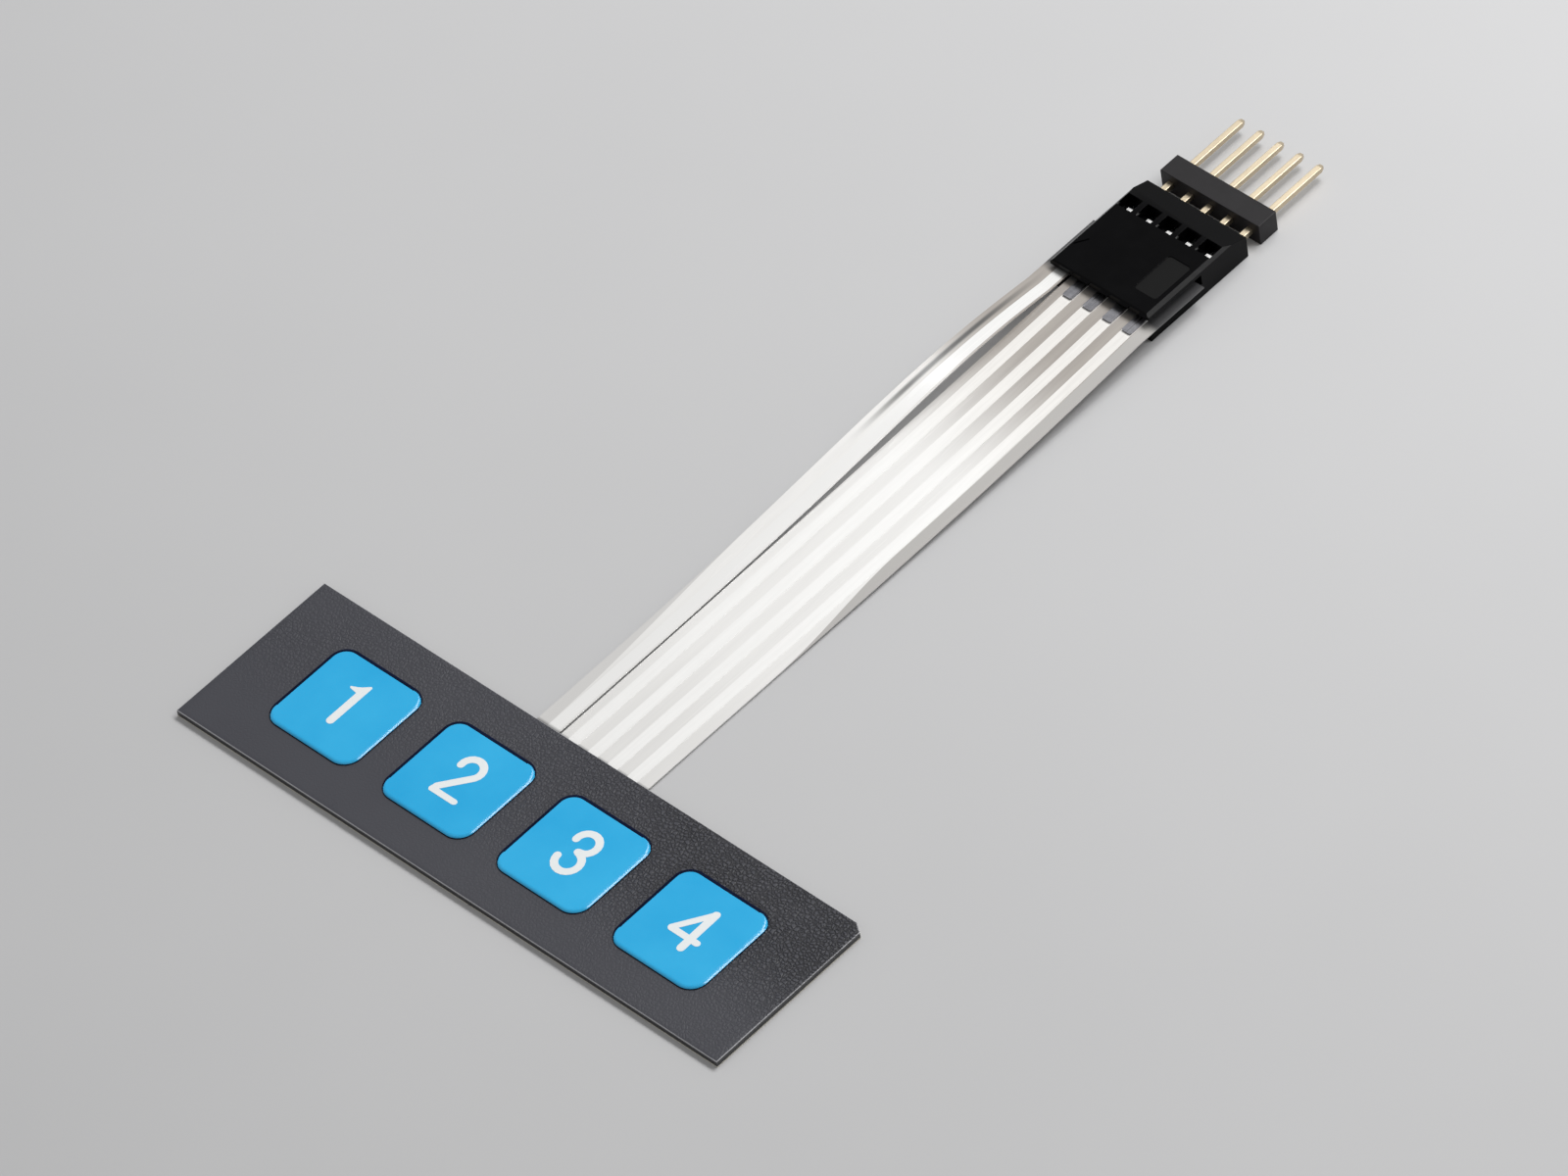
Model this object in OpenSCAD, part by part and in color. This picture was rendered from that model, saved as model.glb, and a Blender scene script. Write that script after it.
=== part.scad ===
// Four-key membrane keypad with a printed film tail, a five-way crimp connector
// and a pin header plugged into it.
// X runs along the key row, Y runs towards the tail, Z points out of the key faces.
// The rear face of the keypad is at z = 0 and its centre is the origin. All sizes are in millimetres.

/* [Keypad] */
// length of the keypad along the key row
pad_l = 70; // [66:0.5:90]
// width of the keypad across the key row
pad_w = 20; // [19:0.5:30]
// length of the clipped corner along the key row
clip_l = 1; // [0.4:0.1:1.6]
// width of the clipped corner
clip_w = 0.7; // [0.4:0.1:1.4]

/* [Layers] */
// thickness of the graphic overlay
overlay_t = 0.2; // [0.15:0.01:0.3]
// thickness of the adhesive under the overlay
overlay_glue_t = 0.05; // [0.04:0.01:0.1]
// thickness of each circuit film
film_t = 0.125; // [0.1:0.005:0.18]
// thickness of the spacer between the circuit films
spacer_t = 0.15; // [0.12:0.01:0.25]
// thickness of the rear adhesive
rear_glue_t = 0.05; // [0.04:0.01:0.15]
// thickness of the release liner
liner_t = 0.1; // [0.08:0.01:0.15]
// thickness of the printed silver
ink_t = 0.03; // [0.02:0.005:0.04]
// place along the key row of the slit in the liner
slit_x = 3.3; // [2:0.1:12]
// width of the slit in the liner
slit_w = 0.2; // [0.1:0.05:0.5]

/* [Keys] */
// distance between key centres
key_pitch = 14.9; // [13.5:0.1:16]
// width and length of a key
key_size = 11.3; // [10:0.1:12]
// corner radius of a key
key_r = 1.9; // [1.5:0.1:2.5]
// height that a key is embossed above the overlay
key_rise = 0.3; // [0.2:0.05:0.6]
// width of the rounded shoulder around a key
key_shoulder = 0.4; // [0.3:0.05:0.8]
// thickness of the blue key print
key_ink_t = 0.03; // [0.02:0.005:0.05]
// inset of the hollow under a key from the key's outline
key_wall = 0.2; // [0.15:0.01:0.3]
// thickness of the white figure printed on a key
figure_t = 0.02; // [0.01:0.005:0.04]
// width of the strokes of a figure
figure_stroke = 0.8; // [0.5:0.05:1]
// height of a figure from the middle of its lowest stroke to the middle of its highest one
figure_h = 5.1; // [4:0.1:6.5]

/* [Switches] */
// diameter of each window in the spacer
window_d = 9; // [8:0.1:10]
// diameter of each silver contact pad
contact_d = 7; // [5:0.1:7.5]
// width of the air vent between windows
vent_w = 1; // [0.6:0.1:2]
// width of the conductors inside the keypad
run_w = 0.8; // [0.5:0.05:1]
// distance of the common conductor from the key centre line
bus_y = 6.4; // [5.6:0.1:6.8]
// distance of the outer key conductors from the key centre line
outer_y = 8; // [7.4:0.1:8.6]

/* [Tail] */
// width of the tail
tail_w = 14.2; // [14:0.1:14.8]
// length of the tail from the keypad to the connector
tail_l = 71; // [50:1:120]
// width of the printed conductors on the tail
trace_w = 1.25; // [1.1:0.05:1.5]
// gap between the narrow strip's inner edge and its conductor
strip_edge = 0.2; // [0.1:0.05:0.4]
// width of the slit between the narrow strip and the wide tail
tail_slit = 0.1; // [0.05:0.05:0.3]
// height that the left edge of the wide tail is tilted above its right edge
tail_tilt = 0.5; // [0:0.05:0.8]
// height that the narrow strip bows up on its way to the connector
strip_bow = 1.15; // [0:0.05:1.6]
// height that the outer edge of the narrow strip curls above its inner edge
strip_curl = 0.5; // [0:0.05:0.8]
// sideways offset of the connector from the keypad centre
conn_x = 0.45; // [0:0.05:1]

/* [Connector housing] */
// distance between neighbouring contacts
pitch = 2.54; // [2.5:0.01:2.6]
// length of the housing
housing_l = 14; // [13.5:0.1:15]
// height of the housing over the film slot
housing_h = 3.6; // [3.5:0.05:4.5]
// height of the housing at the mating face
nose_h = 2.6; // [2.54:0.01:3]
// length of the slope down to the mating face
nose_l = 3; // [2.6:0.1:3.2]
// depth of the film inside the housing
film_in = 7; // [6.8:0.1:7.4]
// width of the small chamfer on the housing's rear top edge
edge_c = 0.15; // [0.05:0.01:0.25]
// width of the chamfers along the sides of the housing's top
side_c = 0.35; // [0.1:0.05:0.5]
// depth of the flat panel and of the corner mark in the top
mark_d = 0.1; // [0.05:0.01:0.15]
// width of each window in the top
port_w = 1.9; // [1.5:0.05:2.1]
// length of each window in the top
port_l = 1.8; // [1.6:0.05:1.9]

/* [Contacts] */
// thickness of the contact metal
contact_t = 0.2; // [0.15:0.01:0.22]
// length of a contact that shows behind the housing
contact_out = 2; // [1:0.1:2.5]
// length of a crimp tooth along the contact
tooth_l = 1; // [0.6:0.05:1.2]
// clearance around a contact in its cavity
contact_gap = 0.15; // [0.1:0.01:0.2]
// clearance between a pin and the springs of a contact
grip_gap = 0.01; // [0.005:0.005:0.03]

/* [Header] */
// width of a square pin
pin_w = 0.64; // [0.6:0.01:0.66]
// width and height of the header body
header_w = 2.54; // [2.4:0.01:2.6]
// gap between the housing and the header body
header_gap = 1.8; // [0.2:0.1:3]
// free length of the pins beyond the header body
pin_free = 8; // [3:0.1:12]
// length of the tapered pin ends
pin_taper = 0.4; // [0.3:0.05:0.6]

/* [Hidden] */
$fn = 48;
ways = 5;
cut = 1;

// heights of the layers, each one resting on the one below
z_glue = liner_t;
z_lower = z_glue + rear_glue_t;
z_spacer = z_lower + film_t;
z_upper = z_spacer + spacer_t;
z_over_glue = z_upper + film_t;
z_overlay = z_over_glue + overlay_glue_t;
z_top = z_overlay + overlay_t;
key_x = [-1.5 * key_pitch, -0.5 * key_pitch, 0.5 * key_pitch, 1.5 * key_pitch];

// places of the conductors across the tail, the common one first
trace_x = [for (i = [0 : ways - 1]) (i - (ways - 1) / 2) * pitch];
strip_out = -tail_w / 2;
strip_in = trace_x[0] + trace_w / 2 + strip_edge;
tail_left = strip_in + tail_slit;
tail_right = tail_w / 2;

// places of the connector along the tail
y_pad = pad_w / 2;
y_rear = y_pad + tail_l;
y_nose = y_rear + housing_l;
y_contact = y_rear - contact_out;
y_flat = y_contact - 0.4;
y_film = y_rear + film_in;
housing_w = ways * pitch;

// heights in the connector: the pins lie at the height of the header's middle
roof_gap = 0.05;
film_rise = 0.33;
pin_z = header_w / 2;
z_roof = pin_z + pin_w / 2 + roof_gap;
z_film = z_roof + film_rise;
z_plate = z_film + film_t + ink_t;
z_strip = z_plate + contact_t + ink_t;
z_slot = z_film - contact_t - contact_gap;
slot_top = z_strip + film_t + contact_t + contact_gap;

// width of a contact, and places along it
contact_w = pin_w + 2 * contact_t + 0.11;
bend_gap = 0.3;
bend_l = 0.8;
nose_wall = 0.6;
end_gap = 0.2;
tooth_start = 1.2;
tooth_space = 0.8;
y_bend = y_film + bend_gap;
y_roof = y_bend + bend_l;
y_tip = y_nose - nose_wall - end_gap;
y_grip = y_roof + 2 * (y_tip - y_roof) / 3;
y_slot = y_film + bend_gap + end_gap;
cavity_w = contact_w + 2 * contact_gap;
cavity_z = pin_z - pin_w / 2 - 2 * contact_gap;
cavity_top = z_plate + contact_t + contact_gap;
port_y = y_nose - nose_l - port_l;
teeth_y = [y_rear + tooth_start, y_rear + tooth_start + tooth_l + tooth_space];

// places of the header and its pins
y_header = y_nose + header_gap;
y_pin_end = y_header + header_w + pin_free;
y_pin_start = y_roof + end_gap;

// shape of the tail: its places along Y, and its sideways drift and heights at a share u of its length
tail_steps = 28;
function smooth(t) = t * t * (3 - 2 * t);
function along(i) =
    i == 0 ? y_pad - cut : i > tail_steps + 1 ? y_film : y_pad + (y_flat - y_pad) * (i - 1) / tail_steps;
function share(y) = min(max((y - y_pad) / (y_flat - y_pad), 0), 1);
function drift(u) = conn_x * smooth(u);
function sway(u) = sin(180 * pow(u, 1.5));

// the wide tail climbs to the connector ever more steeply and tilts a little on the way
function wide_z(x, u) =
    z_lower + (z_film - z_lower) * u * u
    + tail_tilt * sway(u) * ((tail_left + tail_right) / 2 - x) / (tail_right - tail_left);

// the narrow strip climbs in the same way, bows up before the connector and curls at its outer edge
function strip_z(x, u) =
    z_upper + (z_strip - z_upper) * u * u
    + strip_bow * sin(180 * pow(u, 3))
    + strip_curl * pow(sway(u), 2) * (strip_in - x) / (strip_in - strip_out);

// a thin ribbon that follows a tail: columns are its places across, bottom and top its heights over the tail
module ribbon(columns, bottom, top, narrow = false) {
    n = len(columns);
    m = tail_steps + 3;
    layer = m * n;
    points = [
        for (h = [bottom, top]) for (i = [0 : m - 1]) for (x = columns)
            let (u = share(along(i)))
                [x + drift(u), along(i), (narrow ? strip_z(x, u) : wide_z(x, u)) + h]
    ];
    lower = [
        for (i = [0 : m - 2]) for (j = [0 : n - 2]) let (a = i * n + j)
            each [[a, a + n, a + 1], [a + 1, a + n, a + n + 1]]
    ];
    upper = [for (f = lower) [f[2] + layer, f[1] + layer, f[0] + layer]];
    sides = [
        for (i = [0 : m - 2]) each [
            [i * n, i * n + layer, i * n + n],
            [i * n + n, i * n + layer, i * n + n + layer],
            [i * n + n - 1, i * n + 2 * n - 1, i * n + n - 1 + layer],
            [i * n + 2 * n - 1, i * n + 2 * n - 1 + layer, i * n + n - 1 + layer]
        ]
    ];
    last = (m - 1) * n;
    ends = [
        for (j = [0 : n - 2]) each [
            [j, j + 1, j + layer],
            [j + 1, j + 1 + layer, j + layer],
            [last + j, last + j + layer, last + j + 1],
            [last + j + 1, last + j + layer, last + j + 1 + layer]
        ]
    ];
    faces = [for (f = concat(lower, upper, sides, ends)) [f[2], f[1], f[0]]];
    polyhedron(points, faces, convexity = 6);
}

// outline of every full layer of the keypad, with its one clipped corner
module pad_outline() {
    polygon([
        [-pad_l / 2, -pad_w / 2],
        [pad_l / 2, -pad_w / 2],
        [pad_l / 2, pad_w / 2 - clip_w],
        [pad_l / 2 - clip_l, pad_w / 2],
        [-pad_l / 2, pad_w / 2]
    ]);
}

module layer(z, t) {
    translate([0, 0, z])
        linear_extrude(t)
            children();
}

// one ring of points around a key, at a given inset and height
corner_steps = 6;
function key_ring(half, r, z) = [
    for (q = [0 : 3]) for (s = [0 : corner_steps])
        let (a = 90 * q + 90 * s / corner_steps)
            let (c = half - r)
                [(q == 0 || q == 3 ? c : -c) + r * cos(a), (q < 2 ? c : -c) + r * sin(a), z]
];

// a key pillow: a wall from z_base to z_foot, then a rounded shoulder that rises to a flat top
shoulder_steps = 5;
module pillow(half, r, z_base, z_foot, rise, shoulder) {
    n = 4 * (corner_steps + 1);
    rings = shoulder_steps + 2;
    points = [
        each key_ring(half, r, z_base),
        for (k = [0 : shoulder_steps])
            let (a = 90 * k / shoulder_steps)
                let (inset = shoulder * (1 - cos(a)))
                    each key_ring(half - inset, r - inset, z_foot + rise * sin(a))
    ];
    walls = [
        for (k = [0 : rings - 2]) for (j = [0 : n - 1])
            let (a = k * n + j)
                let (b = k * n + (j + 1) % n)
                    each [[a, a + n, b], [b, a + n, b + n]]
    ];
    top = [for (j = [n - 1 : -1 : 0]) (rings - 1) * n + j];
    base = [for (j = [0 : n - 1]) j];
    polyhedron(points, concat(walls, [base], [top]), convexity = 4);
}

// the outer form of the embossed overlay at a key, grown by the thickness of the print
module key_form(x, grow) {
    translate([x, 0, 0])
        pillow(key_size / 2 + grow, key_r + grow, z_top - (grow > 0 ? 0 : overlay_t / 2), z_top,
            key_rise + grow, key_shoulder);
}

// the hollow that embossing leaves under a key
module key_hollow(x) {
    translate([x, 0, 0])
        pillow(key_size / 2 - key_wall, key_r - key_wall, z_overlay - cut, z_overlay, key_rise,
            key_shoulder - key_wall / 2);
}

// pattern of one key's conductor inside the keypad: its pad and its run to the tail
module key_pattern(k) {
    inner = k == 1 || k == 2;
    run_y = inner ? 0 : outer_y;
    x0 = min(key_x[k], trace_x[k + 1]) - run_w / 2;
    x1 = max(key_x[k], trace_x[k + 1]) + run_w / 2;
    translate([key_x[k], 0])
        circle(d = contact_d);
    if (!inner)
        translate([key_x[k] - run_w / 2, 0])
            square([run_w, outer_y + run_w / 2]);
    translate([x0, run_y - run_w / 2])
        square([x1 - x0, run_w]);
    translate([trace_x[k + 1] - run_w / 2, run_y])
        square([run_w, y_pad - run_y]);
}

// pattern of the common conductor inside the keypad: four pads on one bus that leads to the narrow strip
module common_pattern() {
    for (x = key_x) {
        translate([x, 0])
            circle(d = contact_d);
        translate([x - run_w / 2, 0])
            square([run_w, bus_y]);
    }
    translate([key_x[0] - run_w / 2, bus_y - run_w / 2])
        square([key_x[3] - key_x[0] + run_w, run_w]);
    translate([trace_x[0] - run_w / 2, bus_y])
        square([run_w, y_pad - bus_y]);
}

// slots that the crimp teeth of one contact cut through the films and the print
slot_gap = 0.02;
tooth_inset = 0.1;
tooth_x = (contact_w - contact_t) / 2 - tooth_inset;
module tooth_slots(k, z0, z1) {
    for (y = teeth_y, s = [-1, 1])
        translate([conn_x + trace_x[k] + s * tooth_x - contact_t / 2 - slot_gap, y - slot_gap, z0])
            cube([contact_t + 2 * slot_gap, tooth_l + 2 * slot_gap, z1 - z0]);
}

// a profile drawn along Y and Z, extruded along X to a given width about x = 0
module across(w) {
    translate([-w / 2, 0, 0])
        rotate([90, 0, 90])
            linear_extrude(w)
                children();
}

// textured front film, embossed at the keys
module graphic_overlay() {
    color([0.25, 0.24, 0.27])
        difference() {
            union() {
                layer(z_overlay, overlay_t)
                    pad_outline();
                for (x = key_x)
                    key_form(x, 0);
            }
            for (x = key_x)
                key_hollow(x);
        }
}

// blue print over one embossed key
module key_print(k) {
    color([0.2, 0.68, 0.9])
        difference() {
            key_form(key_x[k], key_ink_t);
            key_form(key_x[k], 0);
        }
}

// points of an arc about (x, y) from angle a0 to angle a1
arc_steps = 14;
function arc(x, y, r, a0, a1) = [
    for (i = [0 : arc_steps]) let (a = a0 + (a1 - a0) * i / arc_steps) [x + r * cos(a), y + r * sin(a)]
];

// direction of a path at one of its points
function heading(p, i) =
    let (a = p[max(i - 1, 0)])
        let (b = p[min(i + 1, len(p) - 1)])
            atan2(b[1] - a[1], b[0] - a[0]);

// a stroke with round ends along a path
module stroke(p, w) {
    n = len(p) - 1;
    left = [for (i = [0 : n]) let (h = heading(p, i) + 90) p[i] + w / 2 * [cos(h), sin(h)]];
    right = [for (i = [n : -1 : 0]) let (h = heading(p, i) - 90) p[i] + w / 2 * [cos(h), sin(h)]];
    far = [for (a = [60 : -30 : -60]) let (h = heading(p, n) + a) p[n] + w / 2 * [cos(h), sin(h)]];
    near = [for (a = [-120 : -30 : -240]) let (h = heading(p, 0) + a) p[0] + w / 2 * [cos(h), sin(h)]];
    polygon(concat(left, far, right, near));
}

// the four figures, each drawn about the middle of its key
module figure_shape(k) {
    w = figure_stroke;
    top = figure_h * 0.53;
    foot = top - figure_h;
    if (k == 0) {
        polygon(concat(arc(0.25 * w, foot + w / 4, 0.54 * w, 180, 360), [
            [0.79 * w, top + 0.4 * w],
            [0.55 * w, top + 0.55 * w],
            [-0.25 * w, top - 0.15 * w],
            [-0.8 * w, top - 0.5 * w],
            [-1.6 * w, top - 0.85 * w],
            [-1.45 * w, top - 1.1 * w],
            [-0.29 * w, top - 1.25 * w]
        ]));
    }
    if (k == 1) {
        r = figure_h * 0.235;
        bend = [figure_h * 0.04, top - r];
        stroke(concat(arc(bend[0], bend[1], r, 188, -45), [[bend[0] - r, foot + 0.6 * w]]), w);
        stroke([[bend[0] - r, foot + 0.6 * w], [bend[0] - 1.12 * r, foot]], 0.9 * w);
        stroke([[bend[0] - 1.12 * r, foot], [bend[0] + 1.25 * r, foot]], 0.84 * w);
    }
    if (k == 2) {
        r = figure_h * 0.239;
        q = figure_h * 0.255;
        waist = [figure_h * 0.06, top - 2 * r];
        stroke(concat(arc(waist[0] - 0.02 * r, top - r, r, 187, -62), [waist]), w);
        stroke(concat([waist], arc(waist[0], foot + q, q, 72, -178)), w);
    }
    if (k == 3) {
        side = figure_h * 0.18;
        bar = foot + figure_h * 0.265;
        stroke([[side, top - w / 4], [side + w / 12, foot + w / 8]], 1.08 * w);
        stroke([[side + w / 16, top - w / 8], [side - figure_h * 0.465, bar + w / 16]], 0.85 * w);
        stroke([[side - figure_h * 0.455, bar], [side + figure_h * 0.18, bar]], 0.88 * w);
    }
}

// white figure printed on the flat top of one key
module figure(k) {
    color([0.96, 0.97, 0.97])
        layer(z_top + key_rise + key_ink_t, figure_t)
            translate([key_x[k], 0])
                figure_shape(k);
}

// adhesive under the overlay, open under each key
module overlay_adhesive() {
    w = key_size - 2 * key_wall;
    color([0.14, 0.14, 0.15])
        layer(z_over_glue, overlay_glue_t)
            difference() {
                pad_outline();
                for (x = key_x)
                    translate([x, 0])
                        square(w, center = true);
            }
}

// upper film with its narrow tail strip, pierced by the teeth of the first contact
module upper_circuit_film() {
    x = trace_x[0];
    color([0.78, 0.79, 0.78])
        difference() {
            union() {
                layer(z_upper, film_t)
                    pad_outline();
                ribbon([strip_out, x - trace_w / 2, x + trace_w / 2, strip_in], 0, film_t, true);
            }
            tooth_slots(0, z_plate + contact_t, z_strip + cut);
        }
}

// common conductor, printed on the underside of the upper film
module common_conductor() {
    x = trace_x[0];
    color([0.85, 0.85, 0.86])
        difference() {
            union() {
                layer(z_upper - ink_t, ink_t)
                    common_pattern();
                ribbon([x - trace_w / 2, x + trace_w / 2], -ink_t, 0, true);
            }
            tooth_slots(0, z_plate + contact_t / 2, z_strip + cut);
        }
}

// spacer with a window at each key, vents between the windows and a relief for the print on both sides
module circuit_spacer() {
    color([0.12, 0.12, 0.13])
        difference() {
            layer(z_spacer, spacer_t)
                difference() {
                    pad_outline();
                    for (x = key_x)
                        translate([x, 0])
                            circle(d = window_d);
                    for (i = [0 : 2])
                        translate([key_x[i], -vent_w / 2])
                            square([key_pitch, vent_w]);
                }
            for (k = [0 : 3])
                layer(z_spacer - cut, cut + ink_t)
                    key_pattern(k);
            layer(z_upper - ink_t, cut)
                common_pattern();
            for (x = trace_x)
                translate([x - trace_w / 2, y_pad - cut, x == trace_x[0] ? z_upper - ink_t : z_spacer - cut])
                    cube([trace_w, 2 * cut, cut + ink_t]);
        }
}

// conductor of one key, printed on the lower film and led down the tail
module key_conductor(k) {
    x = trace_x[k + 1];
    color([0.85, 0.85, 0.86])
        difference() {
            union() {
                layer(z_spacer, ink_t)
                    key_pattern(k);
                ribbon([x - trace_w / 2, x + trace_w / 2], film_t, film_t + ink_t);
            }
            tooth_slots(k + 1, z_film, z_plate + contact_t / 2);
        }
}

// lower film with the wide tail, pierced by the teeth of the other contacts
module lower_circuit_film() {
    edges = [for (k = [1 : ways - 1]) each [trace_x[k] - trace_w / 2, trace_x[k] + trace_w / 2]];
    color([0.78, 0.79, 0.78])
        difference() {
            union() {
                layer(z_lower, film_t)
                    pad_outline();
                ribbon(concat([tail_left], edges, [tail_right]), 0, film_t);
            }
            for (k = [1 : ways - 1])
                tooth_slots(k, z_film - cut, z_plate);
        }
}

// adhesive that fixes the keypad to a panel
module rear_adhesive() {
    color([0.15, 0.15, 0.16])
        layer(z_glue, rear_glue_t)
            pad_outline();
}

// one half of the release liner, between two places along the key row
module liner(x0, x1) {
    color([0.93, 0.92, 0.88])
        layer(0, liner_t)
            intersection() {
                pad_outline();
                translate([x0, -pad_w])
                    square([x1 - x0, 2 * pad_w]);
            }
}

module liner_left() {
    liner(-pad_l, slit_x - slit_w / 2);
}

module liner_right() {
    liner(slit_x + slit_w / 2, pad_l);
}

// moulded housing: a slot for the film, a cavity and a window for each contact, and a sloped nose
panel_w = 2.8;
panel_l = 5.2;
panel_r = 0.4;
panel_side = side_c + 0.5;
panel_start = 2;
mark_w = 1.8;
mark_side = side_c + 0.1;
mark_start = 2.8;
entry_w = pin_w + 2 * contact_gap;
lead_in = 0.3;
module connector_housing() {
    color([0.06, 0.06, 0.07])
        translate([conn_x, 0, 0])
            difference() {
                housing_block();
                translate([-housing_w, y_rear - cut, z_slot])
                    cube([2 * housing_w, y_slot - y_rear + cut, slot_top - z_slot]);
                for (x = trace_x)
                    translate([x, 0, 0])
                        contact_room();
                translate([housing_w / 2 - panel_side - panel_w, y_rear + panel_start, housing_h - mark_d])
                    linear_extrude(cut)
                        rounded(panel_w, panel_l, panel_r);
                translate([mark_side - housing_w / 2, y_rear + mark_start, housing_h - mark_d])
                    linear_extrude(cut)
                        polygon([[0, 0], [mark_w, 0], [mark_w / 2, mark_w * 0.8]]);
            }
}

// a rectangle with round corners, its near left corner at the origin
module rounded(w, l, r) {
    translate([r, 0])
        square([w - 2 * r, l]);
    translate([0, r])
        square([w, l - 2 * r]);
    for (x = [r, w - r], y = [r, l - r])
        translate([x, y])
            circle(r);
}

// outer block of the housing: its side profile and its front profile, both with chamfered top edges
module housing_block() {
    h = housing_w / 2;
    intersection() {
        across(housing_w)
            polygon([
                [y_rear, 0],
                [y_nose, 0],
                [y_nose, nose_h],
                [y_nose - nose_l, housing_h],
                [y_rear + edge_c, housing_h],
                [y_rear, housing_h - edge_c]
            ]);
        translate([0, y_nose + cut, 0])
            rotate([90, 0, 0])
                linear_extrude(housing_l + 2 * cut)
                    polygon([
                        [-h, 0],
                        [h, 0],
                        [h, housing_h - side_c],
                        [h - side_c, housing_h],
                        [side_c - h, housing_h],
                        [-h, housing_h - side_c]
                    ]);
    }
}

// room for one contact in the housing: cavity, pin entry with a lead-in, and window
module contact_room() {
    translate([-cavity_w / 2, y_slot - contact_gap, cavity_z])
        cube([cavity_w, y_tip + end_gap - y_slot + contact_gap, cavity_top - cavity_z]);
    translate([-entry_w / 2, y_tip, pin_z - entry_w / 2])
        cube([entry_w, y_nose - y_tip + cut, entry_w]);
    translate([0, y_nose - lead_in, pin_z])
        rotate([-90, 0, 0])
            rotate([0, 0, 45])
                cylinder(
                    h = 2 * lead_in,
                    r1 = entry_w / sqrt(2),
                    r2 = (entry_w + 4 * lead_in) / sqrt(2),
                    $fn = 4
                );
    translate([-port_w / 2, port_y, cavity_top - contact_gap])
        cube([port_w, port_l, housing_h - cavity_top + cut]);
}

// stamped contact: crimp plate on the film, teeth through it, spring pair on the pin, and a locking lance
chamfer = 0.12;
spring_z = pin_z - pin_w / 2 - contact_gap / 2;
spring_flare = 0.05;
lance_w = contact_w - 2 * contact_t;
lance_z = cavity_top + contact_gap / 2;
lance_y = port_y + port_l / 3;
module contact(k) {
    w = contact_w;
    t = contact_t;
    up = k == 0;
    color([0.62, 0.6, 0.57])
        translate([conn_x + trace_x[k], 0, 0]) {
            intersection() {
                across(w)
                    polygon([
                        [y_contact, z_plate],
                        [y_bend, z_plate],
                        [y_roof, z_roof],
                        [y_tip, z_roof],
                        [y_tip, z_roof + t],
                        [y_roof, z_roof + t],
                        [y_bend, z_plate + t],
                        [y_contact, z_plate + t]
                    ]);
                linear_extrude(housing_h)
                    polygon([
                        [-w / 2, y_contact + chamfer],
                        [chamfer - w / 2, y_contact],
                        [w / 2 - chamfer, y_contact],
                        [w / 2, y_contact + chamfer],
                        [w / 2, y_tip],
                        [-w / 2, y_tip]
                    ]);
            }
            for (s = [-1, 1]) {
                layer(spring_z, z_roof + t / 2 - spring_z)
                    polygon([
                        [s * w / 2, y_roof],
                        [s * (w / 2 - t), y_roof],
                        [s * (pin_w / 2 + grip_gap), y_grip],
                        [s * (w / 2 - t + spring_flare), y_tip],
                        [s * (w / 2 + spring_flare), y_tip],
                        [s * (pin_w / 2 + grip_gap + t), y_grip]
                    ]);
                for (y = teeth_y)
                    translate([s * tooth_x, y, 0])
                        crimp_tooth(-s, up);
            }
            across(lance_w)
                polygon([
                    [port_y + port_l - 1.5 * t, z_roof + t / 2],
                    [lance_y + 2 * t, lance_z - t],
                    [lance_y, lance_z - t],
                    [lance_y, lance_z],
                    [lance_y + 2 * t, lance_z],
                    [port_y + port_l, z_roof + t / 2]
                ]);
        }
}

// one crimp tooth: a leg through the film and a curl that closes on the film's far side
curl = 0.15;
module crimp_tooth(side, up) {
    t = contact_t;
    z0 = up ? z_plate + t / 2 : z_film - t;
    z1 = up ? z_strip + film_t + t : z_plate + t / 2;
    translate([-t / 2, 0, z0])
        cube([t, tooth_l, z1 - z0]);
    translate([side > 0 ? -t / 2 : -t / 2 - curl, 0, up ? z1 - t : z0])
        cube([t + curl, tooth_l, t]);
}

// moulded strip that holds the pins
module header_body() {
    color([0.07, 0.07, 0.08])
        translate([conn_x, y_header, 0])
            difference() {
                translate([-housing_w / 2, 0, 0])
                    cube([housing_w, header_w, header_w]);
                for (x = trace_x)
                    translate([x - pin_w / 2, -cut, pin_z - pin_w / 2])
                        cube([pin_w, header_w + 2 * cut, pin_w]);
            }
}

// one square pin with tapered ends
pin_end = 0.32 * pin_w;
function tapered(c) = [
    [c - pin_end, y_pin_start],
    [c + pin_end, y_pin_start],
    [c + pin_w / 2, y_pin_start + pin_taper],
    [c + pin_w / 2, y_pin_end - pin_taper],
    [c + pin_end, y_pin_end],
    [c - pin_end, y_pin_end],
    [c - pin_w / 2, y_pin_end - pin_taper],
    [c - pin_w / 2, y_pin_start + pin_taper]
];
module header_pin(k) {
    color([0.83, 0.74, 0.55])
        translate([conn_x + trace_x[k], 0, 0])
            intersection() {
                linear_extrude(header_w)
                    polygon(tapered(0));
                across(pin_w)
                    polygon([for (p = tapered(pin_z)) [p[1], p[0]]]);
            }
}

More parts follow.
